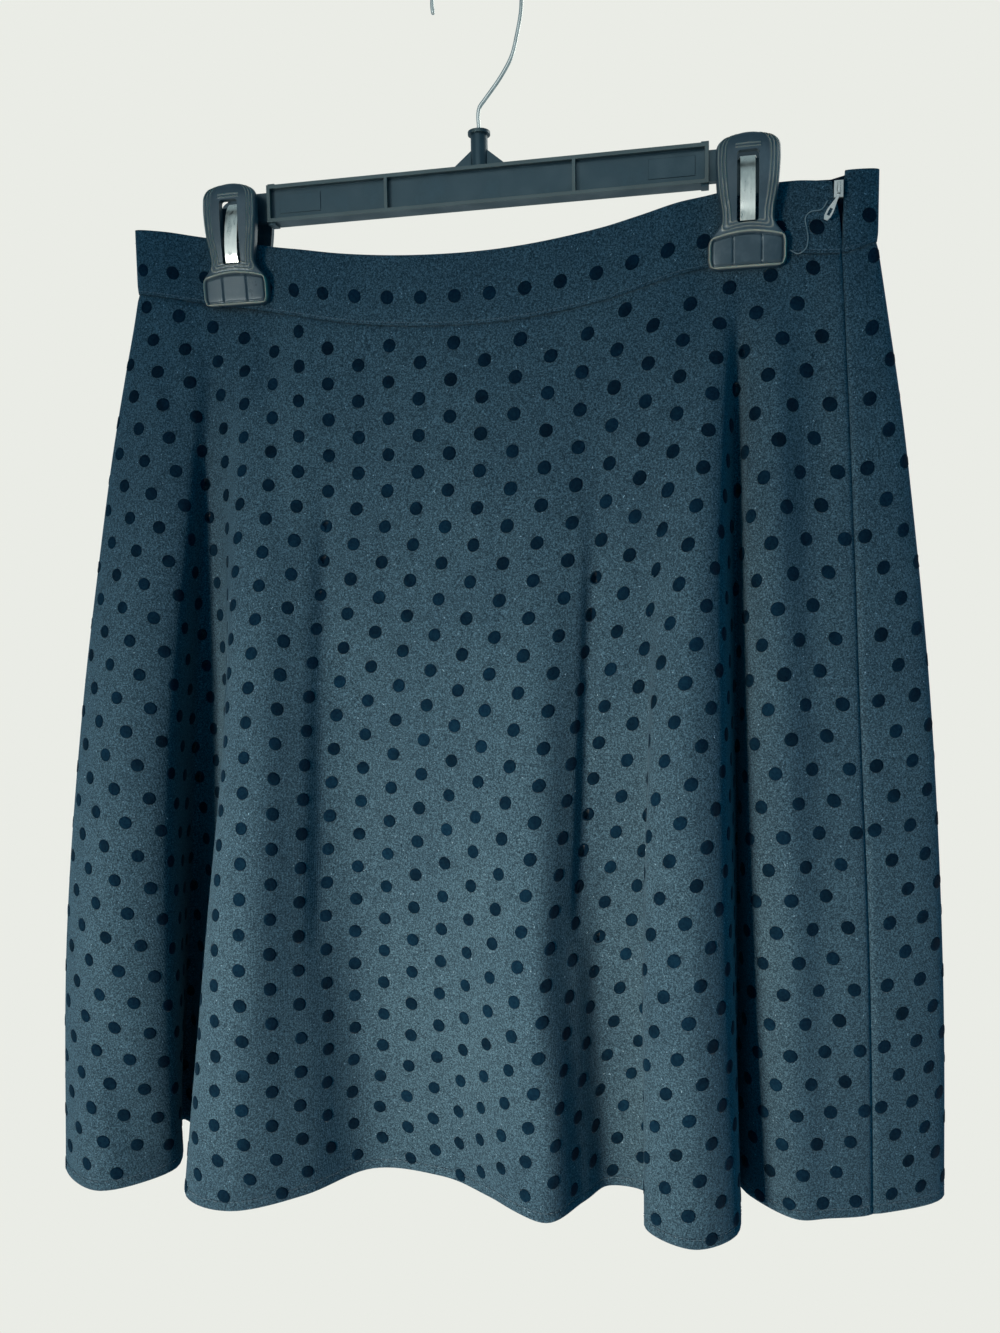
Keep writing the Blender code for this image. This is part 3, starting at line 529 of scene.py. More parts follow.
class Panel:
    """One cloth panel: its middle surface, outer face and flat-cut coordinates."""

    def __init__(self, grid, normal, columns, ends, turn=None):
        self.sheet = grid[:, columns].copy()
        self.normal = normal[:, columns].copy()
        across = np.linalg.norm(np.diff(self.sheet, axis=1), axis=2)
        arc = np.concatenate([np.zeros((self.sheet.shape[0], 1)), np.cumsum(across, axis=1)], axis=1)
        down = np.linalg.norm(np.diff(self.sheet, axis=0), axis=2)
        drop = np.concatenate([np.zeros((1, self.sheet.shape[1])), np.cumsum(down, axis=0)])
        self.turn = turn
        if turn is None:
            self.first, self.second = arc - arc[:, arc.shape[1] // 2][:, None], drop
        else:
            self.first = (arc / arc[:, -1:] - 0.5) * turn
            self.second = drop + arc[:, -1].mean() / turn - drop.mean()
        draw_back(self.sheet[:, ::-1], ends[0])
        draw_back(self.sheet, ends[1])

    def flat(self):
        """Flat-cut coordinates of every grid point, in metres."""
        if self.turn is None:
            return np.stack([self.first, -self.second], axis=2)
        return np.stack([self.second * np.sin(self.first), -self.second * np.cos(self.first)], axis=2)

    def to_polar(self, x, y):
        return (x, -y) if self.turn is None else (math.atan2(x, -y), math.hypot(x, y))

    def find(self, a, b):
        """Row and column of one flat point, or None outside the panel."""
        rows, columns = (size - 1 for size in self.first.shape)
        j = rows * 0.5
        for _ in range(4):
            low = int(min(max(math.floor(j), 0), rows - 1))
            part = j - low
            line = self.first[low] * (1 - part) + self.first[low + 1] * part
            i = float(np.interp(a, line, np.arange(columns + 1)))
            left = int(min(max(math.floor(i), 0), columns - 1))
            share = i - left
            post = self.second[:, left] * (1 - share) + self.second[:, left + 1] * share
            j = float(np.interp(b, post, np.arange(rows + 1)))
        inside = line[0] <= a <= line[-1] and post[0] <= b <= post[-1]
        return (j, i) if inside else None

    def at(self, j, i, rise):
        """A point of the outer side, `rise` above the middle surface."""
        rows, columns = self.first.shape
        low, left = min(int(j), rows - 2), min(int(i), columns - 2)
        u, v = j - low, i - left
        shares = np.array([[(1 - u) * (1 - v), (1 - u) * v], [u * (1 - v), u * v]])[:, :, None]
        point, normal = ((grid[low:low + 2, left:left + 2] * shares).sum(axis=(0, 1))
                         for grid in (self.sheet, self.normal))
        return point + normal / np.linalg.norm(normal) * rise

    def shell(self, name, thickness, material, hem=False):
        """The panel's thin shell; the hem's turned edge makes its inner side thicker."""
        front = np.full(self.first.shape, thickness / 2)
        back = front.copy()
        if hem:
            left = self.second[-1][None] - self.second
            back += HEM_EXTRA * np.clip((HEM_DEPTH - left) / (0.8 * MM), 0, 1)
            front -= HEM_GROOVE[0] * np.exp(-((left - HEM_STITCH) / HEM_GROOVE[1]) ** 2)
            front[-1] *= HEM_ROUND
            back[-1] *= HEM_ROUND
        outer, inner = self.sheet + self.normal * front[:, :, None], self.sheet - self.normal * back[:, :, None]
        return slab_mesh(name, outer, inner, material, self.flat())


def dot_points(panel, pitch, phase, rows_across):
    """Flat positions of the dots: staggered columns down the grain, or staggered rows along a band."""
    flat = panel.flat().reshape(-1, 2)
    low, high = flat.min(axis=0), flat.max(axis=0)
    out = []
    if rows_across:
        step_x, step_y = pitch
        for r in range(-2, int((high[1] - low[1]) / step_y) + 3):
            shift = (r % 2) * 0.5 * step_x + phase[0]
            for c in range(int((low[0] - shift) / step_x) - 1, int((high[0] - shift) / step_x) + 2):
                out.append((c * step_x + shift, high[1] - phase[1] - r * step_y))
        return out
    step_x, step_y = pitch * math.sqrt(3) / 2, pitch
    for c in range(int(low[0] / step_x) - 1, int(high[0] / step_x) + 2):
        for r in range(int(low[1] / step_y) - 2, int(high[1] / step_y) + 2):
            out.append(((c + phase[0]) * step_x, (r + phase[1] + (c % 2) * 0.5) * step_y))
    return out


def stretch(panel, a, b, da, db):
    """How much longer the cloth is than its flat cut at one point, along one direction."""
    ahead, behind = panel.find(a + da, b + db), panel.find(a - da, b - db)
    if ahead is None or behind is None:
        return 1.0
    return max(np.linalg.norm(panel.at(*ahead, 0) - panel.at(*behind, 0)) / (2 * DOT_PROBE), 0.4)


def dots_on(name, panel, centres, thickness, material):
    """Flocked dots: round pads on the panel's outer side, following its folds."""
    verts, faces = [], []
    top = thickness / 2
    circle = circle_points(DOT_SIDES)
    for centre in centres:
        a, b = panel.to_polar(*centre)
        place = panel.find(a, b)
        if place is None:
            continue
        scale = b if panel.turn is not None else 1.0
        across = stretch(panel, a, b, DOT_PROBE / scale, 0.0) * scale
        down = stretch(panel, a, b, 0.0, DOT_PROBE)
        size = DOT_RADIUS * (0.97 + 0.06 * random.random())
        spots = [(panel.find(a + size * part * x / across, b + size * part * y / down), rise)
                 for part, rise in DOT_RINGS for x, y in circle]
        if any(spot is None for spot, _ in spots):
            continue
        low = len(verts)
        verts += [panel.at(*spot, top + rise) for spot, rise in spots]
        verts.append(panel.at(*place, top + DOT_RISE * 1.05))
        faces += ring_faces(low, len(DOT_RINGS), DOT_SIDES)
        last = len(verts) - 1 - DOT_SIDES
        faces += [(last + k, last + (k + 1) % DOT_SIDES, last + DOT_SIDES) for k in range(DOT_SIDES)]
        faces.append(tuple(reversed(range(low, low + DOT_SIDES))))
    return mesh_object(name, verts, faces, material)


def capsule(verts, faces, start, end, radius, sides=5):
    """Add a short thread lying between two points."""
    along = end - start
    length = np.linalg.norm(along)
    if length < 1e-6:
        return
    along /= length
    u = np.cross(along, [0.0, 0.0, 1.0] if abs(along[2]) < 0.8 else [1.0, 0.0, 0.0])
    u /= np.linalg.norm(u)
    v = np.cross(along, u)
    ends = ((0.0, 0.35), (0.15, 1.0), (0.85, 1.0), (1.0, 0.35))
    add_tube(verts, faces, [(start + along * length * s, u, v, radius * size) for s, size in ends], sides)


def stitches_along(name, panel, offset_from, thickness, sizes, material):
    """A line of stitches at a fixed distance from the panel's lower edge."""
    stitch, gap, radius = (size * MM for size in sizes)
    verts, faces = [], []
    columns = panel.first.shape[1]
    line = []
    for i in range(columns):
        drop = panel.second[:, i] - panel.second[0, i]
        j = float(np.interp(drop[-1] - offset_from, drop, np.arange(len(drop))))
        line.append(panel.at(j, min(i, columns - 1.001), thickness / 2 + radius * 0.35))
    line = np.array(line)
    run = run_along(line)
    s = 1.0 * MM
    while s + stitch < run[-1]:
        start, end = (np.array([np.interp(at, run, line[:, k]) for k in range(3)]) for at in (s, s + stitch))
        capsule(verts, faces, start, end, radius)
        s += stitch + gap
    return mesh_object(name, verts, faces, material)


def thread_along(name, points, radius, material, sides=6):
    """One continuous thread through the points, its ends pointed."""
    knots = np.asarray(points, float)
    run = run_along(knots)
    line = np.array([smooth_values(run, knots, s) for s in np.linspace(0, run[-1], 8 * len(knots))])
    stations = []
    for k, along in enumerate(directions(line)):
        u = np.cross(along, [0.0, 1.0, 0.0])
        u /= np.linalg.norm(u)
        size = radius * (0.3 if k in (0, len(line) - 1) else 1.0)
        stations.append((line[k], u, np.cross(along, u), size))
    verts, faces = [], []
    add_tube(verts, faces, stations, sides)
    return mesh_object(name, verts, faces, material)


def zip_tape(front, back, material):
    """The woven tape behind the band's open end, from under the front's end to under the back's."""
    rows = []
    for j in range(front.sheet.shape[0]):
        start, end = front.sheet[j, -TAPE_COLUMNS], back.sheet[j, TAPE_COLUMNS]
        inward = -(front.normal[j, -1] + back.normal[j, 0])
        inward /= np.linalg.norm(inward)
        shares = np.linspace(0, 1, 7)[:, None]
        rows.append(start * (1 - shares) + end * shares + inward * TAPE_SET)
    middle = np.array(rows)
    normal = np.cross(np.gradient(middle, axis=1), np.gradient(middle, axis=0))
    normal /= np.linalg.norm(normal, axis=2, keepdims=True)
    return slab_mesh("zip_tape", middle + normal * TAPE_THICK / 2, middle - normal * TAPE_THICK / 2, material)


class Look:
    """A material in the making: its nodes, links, shader and coordinates."""

    def __init__(self, name):
        self.material = bpy.data.materials.new(name)
        self.material.use_nodes = True
        self.nodes = self.material.node_tree.nodes
        coords = self.nodes.new("ShaderNodeTexCoord")
        self.place, self.cut = coords.outputs["Object"], coords.outputs["UV"]

    def put(self, node, values):
        """Set a node's inputs, each to a plain value or to another node's output."""
        for key, value in values.items():
            socket = node.inputs[key]
            if isinstance(value, bpy.types.NodeSocket):
                self.material.node_tree.links.new(value, socket)
            else:
                socket.default_value = (*value[:3], 1.0) if socket.type == "RGBA" else value
        return node

    def add(self, kind, values):
        return self.put(self.nodes.new("ShaderNode" + kind), values)

    def noise(self, scale, detail=2.0, rough=0.5, coords=None):
        values = {"Vector": self.place if coords is None else coords, "Scale": scale, "Detail": detail,
                  "Roughness": rough}
        return self.add("TexNoise", values).outputs["Fac"]

    def ramp(self, share, *stops):
        """A colour that runs from one (position, colour) stop to another as the share rises."""
        node = self.add("ValToRGB", {"Fac": share})
        for element, (position, colour) in zip(node.color_ramp.elements, stops):
            element.position, element.color = position, (*colour, 1.0)
        return node.outputs["Color"]

    def mix(self, share, first, second, blend="MIX"):
        node = self.nodes.new("ShaderNodeMix")
        node.data_type, node.blend_type = "RGBA", blend
        low, high = [k for k, socket in enumerate(node.inputs) if socket.type == "RGBA"]
        self.put(node, {"Factor": share, low: first, high: second})
        return [socket for socket in node.outputs if socket.type == "RGBA"][0]

    def finish(self, values, height=None, strength=0.0, distance=0.0):
        """Fill in the shader, bumped by the height where there is one."""
        if height is not None:
            bump = self.add("Bump", {"Height": height, "Strength": strength, "Distance": distance})
            values["Normal"] = bump.outputs["Normal"]
        self.put(self.nodes["Principled BSDF"], values)
        return self.material


def knit_material(name):
    """Heathered knit: fine mottled yarn, rib-like rows of stitches and soft large variation."""
    look = Look(name)
    fine = look.noise(1500.0, 2.0, 0.7)
    yarn = look.ramp(fine, (0.36, KNIT_DARK), (0.66, KNIT_LIGHT))
    heather = look.ramp(look.noise(1050.0, 2.0, 0.6), (0.36, (0.48, 0.50, 0.52)), (0.64, (1.46, 1.44, 1.42)))
    large = look.ramp(look.noise(14.0, 3.0, 0.55), (0.30, (0.88, 0.90, 0.92)), (0.70, (1.10, 1.08, 1.06)))
    spots = look.ramp(look.noise(900.0, 0.0), (0.80, (0.0, 0.0, 0.0)), (0.86, (1.0, 1.0, 1.0)))
    colour = look.mix(1.0, look.mix(1.0, yarn, heather, "MULTIPLY"), large, "MULTIPLY")
    rows = look.add("TexWave", {"Vector": look.cut, "Scale": 210.0, "Distortion": 1.2, "Detail": 1.0})
    rows.wave_type = "BANDS"
    rows.bands_direction = "X"
    height = look.add("Math", {0: rows.outputs["Fac"], 1: 0.35, 2: fine})
    height.operation = "MULTIPLY_ADD"
    values = {"Base Color": look.mix(spots, colour, KNIT_FLECK), "Roughness": 0.92, "Specular IOR Level": 0.04,
              "Sheen Weight": 0.12, "Sheen Roughness": 0.5, "Sheen Tint": KNIT_SHEEN}
    return look.finish(values, height.outputs[0], 0.5, 0.4 * MM)


def flock_material(name):
    """Short dense pile: very dark, with a soft rim of sheen and a few pressed spots."""
    look = Look(name)
    fine = look.noise(700.0, 3.0, 0.7)
    pile = look.ramp(fine, (0.35, FLOCK_DARK), (0.75, FLOCK_LIGHT))
    worn = look.ramp(look.noise(60.0), (0.30, (0.7, 0.7, 0.7)), (0.72, (1.5, 1.5, 1.5)))
    values = {"Base Color": look.mix(1.0, pile, worn, "MULTIPLY"), "Roughness": 0.95,
              "Specular IOR Level": 0.03, "Sheen Weight": 0.06, "Sheen Roughness": 0.35}
    return look.finish(values, fine, 0.6, 0.3 * MM)


def plastic_material(name, base, worn, painted_highlight, roughness, shine):
    """Moulded plastic: satin, finely textured, with light patches and a painted highlight on ridges and edges
    where marked.
    """
    look = Look(name)
    broad = look.noise(55.0, 4.0, 0.6)
    marks = look.add("Attribute", {})
    marks.attribute_name = PAINTED_HIGHLIGHT_MARKS
    # where marked, the colour is a painted highlight
    colour = look.mix(marks.outputs["Fac"], look.ramp(broad, (0.52, base), (0.78, worn)), painted_highlight)
    gloss = look.ramp(broad, (0.3, (roughness - 0.08,) * 3), (0.7, (roughness + 0.10,) * 3))
    values = {"Base Color": colour, "Roughness": gloss, "Specular IOR Level": 0.6, "Specular Tint": shine}
    return look.finish(values, look.noise(1600.0, 2.0, 0.6), 0.25, 0.2 * MM)


def metal_material(name, base, roughness, stretched):
    """Bright metal with fine drawn streaks; the noise is squeezed along the draw."""
    look = Look(name)
    drawn = look.add("Mapping", {"Vector": look.place, "Scale": stretched})
    streaks = look.noise(500.0, 3.0, 0.6, drawn.outputs["Vector"])
    tone = look.ramp(streaks, (0.3, tuple(c * 0.72 for c in base)), (0.7, base))
    gloss = look.ramp(streaks, (0.3, (roughness * 0.7,) * 3), (0.7, (roughness * 1.5,) * 3))
    return look.finish({"Base Color": tone, "Roughness": gloss, "Metallic": 1.0})


def thread_material(name, base, light):
    look = Look(name)
    tone = look.ramp(look.noise(1500.0, 1.0), (0.35, base), (0.7, light))
    return look.finish({"Base Color": tone, "Roughness": 0.8, "Sheen Weight": 0.2})


def area_of(panel):
    """The flat panel's width, length and area, from its flat-cut coordinates."""
    flat = panel.flat()
    size = flat.reshape(-1, 2).max(axis=0) - flat.reshape(-1, 2).min(axis=0)
    a, b = flat[1:, 1:] - flat[:-1, :-1], flat[1:, :-1] - flat[:-1, 1:]
    area = np.abs(a[:, :, 0] * b[:, :, 1] - a[:, :, 1] * b[:, :, 0]).sum() / 2
    return float(size[0]), float(size[1]), float(area)


def soften_edges(grid, normal, from_top):
    """Sink the cloth a little along the side seams and along the edge sewn to its neighbour."""
    push = np.zeros(grid.shape[:2])
    for line in (LEFT_SEAM * FINE, RIGHT_SEAM * FINE):
        away = np.linalg.norm(grid - grid[:, line][:, None], axis=2)
        push -= SEAM_SINK * np.exp(-(away / SEAM_SOFT) ** 2)
    rows = grid if from_top else grid[::-1]
    drop = np.linalg.norm(rows - rows[:1], axis=2)
    edge = -EDGE_SINK * np.exp(-(drop / EDGE_SOFT) ** 2)
    push += edge if from_top else edge[::-1]
    grid += normal * push[:, :, None]


def draw_back(sheet, amounts):
    """Shorten a panel at its last columns by an amount for each row."""
    for line, amount in zip(sheet, amounts):
        tail = line[-FINE - 1:]
        run = run_along(tail)
        want = run * (run[-1] - amount) / run[-1]
        line[-FINE - 1:] = np.stack([np.interp(want, run, tail[:, k]) for k in range(3)], axis=1)


def finished(panel, node, shell, look, centres, stitches, flock, sewing):
    """A panel's cloth in place of its node, with its dots and its line of stitches."""
    kind, offset, sizes = stitches
    cloth = panel.shell(f"{node}_cloth", shell, look, kind == "hem_stitches")
    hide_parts(node)
    extras = [dots_on(f"{node}_dots", panel, centres, shell, flock),
              stitches_along(f"{node}_{kind}", panel, offset, shell, sizes, sewing)]
    return panel, cloth, extras, area_of(panel)


def cloth_pieces():
    """The four cloth panels with their dots, stitching and what shows beside the zip."""
    knit, band_knit = knit_material("dotted_knit"), knit_material("dotted_knit_band")
    flock = flock_material("flock")
    sewing = thread_material("sewing_thread", THREAD_DARK, THREAD_LIGHT)
    strand = thread_material("loose_strand", LOOSE_TONE, LOOSE_TONE)
    skirt = skirt_grid()
    normal = grid_normals(skirt)
    fronts = panel_columns(LEFT_SEAM, RIGHT_SEAM)
    backs = panel_columns(RIGHT_SEAM, LEFT_SEAM)
    add_ripple(skirt, normal)
    press_marks(skirt, normal, fronts, "front")
    press_marks(skirt, normal, backs, "back")
    soften_edges(skirt, normal, True)
    normal = grid_normals(skirt)
    made = {}
    plain = [SEAM_GAP / 2] * (SKIRT_ROWS + 1)
    for label, columns, phase in (("front", fronts, FRONT_PHASE), ("back", backs, BACK_PHASE)):
        panel = Panel(skirt, normal, columns, (plain, plain), PANEL_TURN)
        made[label] = finished(panel, f"skirt_{label}", SHELL, knit, dot_points(panel, DOT_PITCH, phase, False),
                               ("hem_stitches", HEM_STITCH, HEM_THREAD), flock, sewing)
    rise = [(1 - j / BAND_ROWS) ** 2 for j in range(BAND_ROWS + 1)]
    plain, open_front, open_back = ([SEAM_GAP / 2 + width * r for r in rise] for width in (0.0, *ZIP_OPENING))
    for label, edge, columns, ends in (("front", FRONT_TOP, fronts, (plain, open_front)),
                                       ("back", BACK_TOP, backs, (open_back, plain))):
        band = band_grid(edge)[::-1].copy()
        soften_edges(band, grid_normals(band), False)
        panel = Panel(band, grid_normals(band), columns, ends)
        points = dot_points(panel, BAND_PITCH, BAND_PHASE, True)
        made["band_" + label] = finished(panel, f"waistband_{label}", BAND_SHELL, band_knit, points,
                                         ("stitches", BAND_STITCH, BAND_THREAD), flock, sewing)
    loose = [(x * MM, y * MM, z * MM - HOOK_RISE) for x, y, z in LOOSE_THREAD]
    made["band_front"][2].append(thread_along("loose_thread", loose, LOOSE_RADIUS, strand))
    made["band_back"][2].append(zip_tape(made["band_front"][0], made["band_back"][0], flock))
    for _, cloth, extras, _ in made.values():
        for piece in [cloth] + extras:
            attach(piece, ROOT)
    return made


def bevelled_copy(node, name, material, width, body=ROOT):
    """A CAD node's own shape with its flat faces merged and its sharp edges rounded."""
    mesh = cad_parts[node].data.copy()
    mesh.name = name
    work = bmesh.new()
    work.from_mesh(mesh)
    bmesh.ops.remove_doubles(work, verts=work.verts, dist=1e-6)
    bmesh.ops.dissolve_limit(work, angle_limit=math.radians(3), verts=work.verts, edges=work.edges)
    sharp = [e for e in work.edges if len(e.link_faces) == 2 and e.calc_face_angle(0) > math.radians(35)]
    made = bmesh.ops.bevel(work, geom=sharp, offset=width, segments=2, profile=0.6, affect="EDGES",
                           clamp_overlap=True)
    # the bevels along the front and back edges are marked for a painted highlight
    marks = work.verts.layers.float.new(PAINTED_HIGHLIGHT_MARKS)
    for face in made["faces"]:
        for vert in face.verts:
            vert[marks] = 1.0 if abs(vert.co.y) > HIGHLIGHT_EDGES_FROM else 0.0
    for face in work.faces:
        face.smooth = True
    work.to_mesh(mesh)
    work.free()
    mesh.materials.clear()
    mesh.materials.append(material)
    obj = bpy.data.objects.new(name, mesh)
    bpy.context.collection.objects.link(obj)
    weighted = obj.modifiers.new("Weighted normals", "WEIGHTED_NORMAL")
    weighted.keep_sharp = True
    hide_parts(node)
    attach(obj, body)
    return obj


def hook_line():
    """The hook's centre line, smoothed through the same points as the part's."""
    neck = np.array(HOOK_NECK) * MM
    run = run_along(neck)
    path = [smooth_values(run, neck, s) for s in np.linspace(0, run[-1], NECK_STEPS)]
    line = [(x, 0.0, z - HOOK_RISE) for x, z in path[:-1]]
    centre = WIRE_RADIUS - CROOK_RADIUS
    for k in range(CROOK_STEPS + 1):
        turn = math.radians(CROOK_START + CROOK_SWEEP * k / CROOK_STEPS)
        line.append((math.cos(turn) * CROOK_RADIUS, 0.0, centre + math.sin(turn) * CROOK_RADIUS))
    return np.array(line)


def wire(name, path, radius, sides, material):
    """A round wire along a path in the XZ plane with rounded ends."""
    side = np.array([0.0, 1.0, 0.0])
    along = directions(path)
    rounding = ((0.0, 0.25), (0.1, 0.6), (0.4, 0.9), (0.9, 1.0))
    stations = [(path[0] + along[0] * radius * s, along[0], size) for s, size in rounding]
    stations += [(path[k], along[k], 1.0) for k in range(2, len(path) - 2)]
    stations += [(path[-1] - along[-1] * radius * s, along[-1], size) for s, size in rounding[::-1]]
    stations = [(at, side, np.cross(way, side), radius * size) for at, way, size in stations]
    verts, faces = [], []
    add_tube(verts, faces, stations, sides)
    return mesh_object(name, verts, faces, material)


def line_of(away, at, size):
    """The height of a raised line at one distance from it."""
    return size[0] * math.exp(-((away - at) / size[1]) ** 2)


def rounded_inset(side, end, corner):
    """How far a point lies inside an outline whose corner is rounded."""
    qx, qy = corner - side, corner - end
    return corner - math.hypot(max(qx, 0.0), max(qy, 0.0)) - min(max(qx, qy), 0.0)


def raised_lines(z, x, inset, size):
    """The height of the nested ridges and, near the middle, of the short lines above the slot."""
    height = sum(line_of(inset, line, size) for line in RIDGES)
    if abs(x) < LEDGE_HALF:
        height += sum(line_of(z, line, size) for line in LEDGES)
    return height


def jaw_zone(x, z, half):
    """How far a point lies above the pad's top edge and inside the lever's or the pad's outline."""
    side = half - abs(x)
    above = z - PAD_TOP + PAD_ARCH * (x / half) ** 2
    if above > 0:
        return above, rounded_inset(side, above, RIDGE_CORNER)
    return above, rounded_inset(side, min(-above, z - JAW_ROWS[-1][0]), PAD_CORNER)


def jaw_face(x, z, half, face):
    """How far a jaw's outer face stands out, in millimetres: nested ridges above, a rimmed pad below."""
    depth = face - JAW_CROWN * (x / half) ** 4
    depth -= 1.2 * max(1 - (half - abs(x)) / JAW_EDGE, 0.0) ** 2
    depth -= 1.0 * max(1 - (JAW_ROWS[0][0] - z) / JAW_EDGE, 0.0) ** 2
    above, inset = jaw_zone(x, z, half)
    if above > 0:
        depth -= RIDGE_STEP * sum(1 / (1 + math.exp(-(inset - line) / 0.12)) for line in RIDGES)
        return depth + raised_lines(z, x, inset, RIDGE_SIZE)
    depth += line_of(inset, PAD_RIM, PAD_RAISED) - line_of(inset, PAD_RIM + PAD_MOAT, GROOVE_SIZE)
    depth -= PAD_SUNK / (1 + math.exp(-(inset - PAD_RIM - 0.7) / 0.10))
    if inset > PAD_RIM + PAD_MOAT:
        depth -= sum(line_of(x, groove, GROOVE_SIZE) for groove in PAD_GROOVES)
    return depth


def painted_highlight(x, z, half):
    """1 on the ridges' crests and the pad's rim, where a highlight is painted, 0 elsewhere."""
    above, inset = jaw_zone(x, z, half)
    if above < 0:
        return line_of(inset, PAD_RIM, (1.0, PAD_RAISED[1]))
    return min(raised_lines(z, x, inset, (RIDGE_HIGHLIGHT, RIDGE_SIZE[1])), 1.0)


def arched(x, z, half):
    """A row's height at x: rows near the top bend down towards the sides."""
    near_top = min(max(1 - (JAW_ROWS[0][0] - z) / ARCH_REACH, 0.0), 1.0)
    return z - JAW_ARCH * (x / half) ** 2 * near_top


def clip_jaw(name, node, centre_x, side, material):
    """One jaw of a clip: a waisted lever with nested ridges beside its slot, and a rimmed pad."""
    heights = [row[0] for row in JAW_ROWS][::-1]
    others = [row[1:] for row in JAW_ROWS][::-1]
    levels = np.arange(heights[0], heights[-1] + JAW_STEP / 2, JAW_STEP)[::-1]
    outer, inner, marks = [], [], []
    for z in levels:
        half, face, back = smooth_values(heights, others, float(z))
        xs = np.linspace(-half, half, JAW_COLUMNS + 1)
        bent = [arched(x, z, half) * MM - HOOK_RISE for x in xs]
        faces = [jaw_face(x, z, half, face) for x in xs]
        # the mask of the painted highlight on the crests and the rim
        marks += [painted_highlight(x, z, half) for x in xs]
        outer.append([(centre_x + x * MM, side * y * MM, h) for x, y, h in zip(xs, faces, bent)])
        inner.append([(centre_x + x * MM, side * back * MM, h) for x, h in zip(xs, bent)])
    jaw = slab_mesh(name, np.array(outer), np.array(inner), material)
    layer = jaw.data.attributes.new(PAINTED_HIGHLIGHT_MARKS, "FLOAT", "POINT")
    layer.data.foreach_set("value", np.array(marks + [0.0] * len(marks), dtype=np.float32))
    cutter = slot_cutter(centre_x, side, material)
    cut = jaw.modifiers.new("Slot", "BOOLEAN")
    cut.operation = "DIFFERENCE"
    cut.solver = "EXACT"
    cut.object = cutter
    bpy.context.view_layer.objects.active = jaw
    bpy.ops.object.modifier_apply(modifier=cut.name)
    bpy.data.objects.remove(cutter)
    jaw.data.set_sharp_from_angle(angle=math.radians(50))
    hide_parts(node)
    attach(jaw, ROOT)


def slot_cutter(centre_x, side, material):
    """A prism with rounded corners that opens the jaw's slot."""
    right, low, high = SLOT_HALF - SLOT_CORNER, SLOT_Z[0] + SLOT_CORNER, SLOT_Z[1] - SLOT_CORNER
    corners = []
    for quarter, (x, z) in enumerate(((right, high), (-right, high), (-right, low), (right, low))):
        for k in range(6):
            turn = math.radians(90.0 * quarter + 18.0 * k)
            corners.append((x + SLOT_CORNER * math.cos(turn), z + SLOT_CORNER * math.sin(turn)))
    verts = [(centre_x + x * MM, side * y * MM, z * MM - HOOK_RISE) for y in SLOT_REACH for x, z in corners]
    count = len(corners)
    faces = [tuple(range(count)), tuple(range(count, 2 * count))] + ring_faces(0, 2, count)
    return mesh_object("slot_cutter", verts, faces, material, smooth=False)


def clip_spring(name, node, centre_x, material):
    """The flat spring that bridges both jaws, with its ends folded and stepped."""
    path = np.array(SPRING_PATH)
    run = run_along(path)
    points = np.array([smooth_values(run, path, s) for s in np.linspace(0, run[-1], SPRING_STEPS)])
    shares = np.linspace(-1, 1, 9)
    outer, inner = [], []
    for k, (point, along) in enumerate(zip(points, directions(points))):
        normal = np.array([-along[1], along[0]])
        stepped = min(k, SPRING_STEPS - 1 - k) in (1, 2, 3, 6, 7)
        thick = SPRING_THICK / 2 + (SPRING_FOLD if stepped else 0.0)
        behind = 1 / (1 + math.exp(-point[0] / 2.0))
        width = SPRING_HALVES[0] * (1 - behind) + SPRING_HALVES[1] * behind
        for rows, rises in ((outer, thick - 0.15 * shares ** 4), (inner, shares * 0 - SPRING_THICK / 2)):
            rows.append([(centre_x + u * width * MM, *((point + normal * rise) * MM - (0.0, HOOK_RISE)))
                         for u, rise in zip(shares, rises)])
    spring = slab_mesh(name, np.array(outer), np.array(inner), material)
    spring.data.set_sharp_from_angle(angle=math.radians(45))
    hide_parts(node)
    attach(spring, ROOT)


def clip_core(name, centre_x, material):
    """The dark block between a clip's jaws, on which they rock round the bar's tongue."""
    half_x, half_y = CORE_HALF
    verts = [(centre_x + x, y, z - HOOK_RISE)
             for x in (-half_x, half_x) for y in (-half_y, half_y) for z in CORE_Z]
    core = mesh_object(name, verts, CORE_FACES, material, smooth=False)
    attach(core, ROOT)


def lint_on(panels, material):
    """Short pale fibres that cling to the cloth here and there."""
    verts, faces = [], []
    for panel, thickness, count in panels:
        rows, columns = panel.first.shape
        rise = thickness / 2 + LINT_RISE
        for _ in range(count):
            j, i = random.uniform(1, rows - 2), random.uniform(1, columns - 2)
            point = panel.at(j, i, rise)
            along = panel.at(j + random.uniform(-0.6, 0.6), i + random.uniform(-0.6, 0.6), rise) - point
            if np.linalg.norm(along) < 1e-5:
                continue
            along = along / np.linalg.norm(along) * random.uniform(0.4, 1.5) * MM
            capsule(verts, faces, point, point + along, LINT_RADIUS, 4)
    lint = mesh_object("lint", verts, faces, material)
    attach(lint, ROOT)


def area_light(name, place, target, size, power, colour, spread, on_matt):
    """A rectangular light aimed at its target."""
    light = bpy.data.lights.new(name, "AREA")
    light.shape = "RECTANGLE"
    light.size, light.size_y = size
    light.energy = power
    light.color = colour
    light.spread = math.radians(spread)
    obj = bpy.data.objects.new(name, light)
    bpy.context.collection.objects.link(obj)
    obj.visible_diffuse = on_matt
    obj.location = place
    obj.rotation_mode = "QUATERNION"
    obj.rotation_quaternion = (Vector(target) - obj.location).to_track_quat("-Z", "Y")


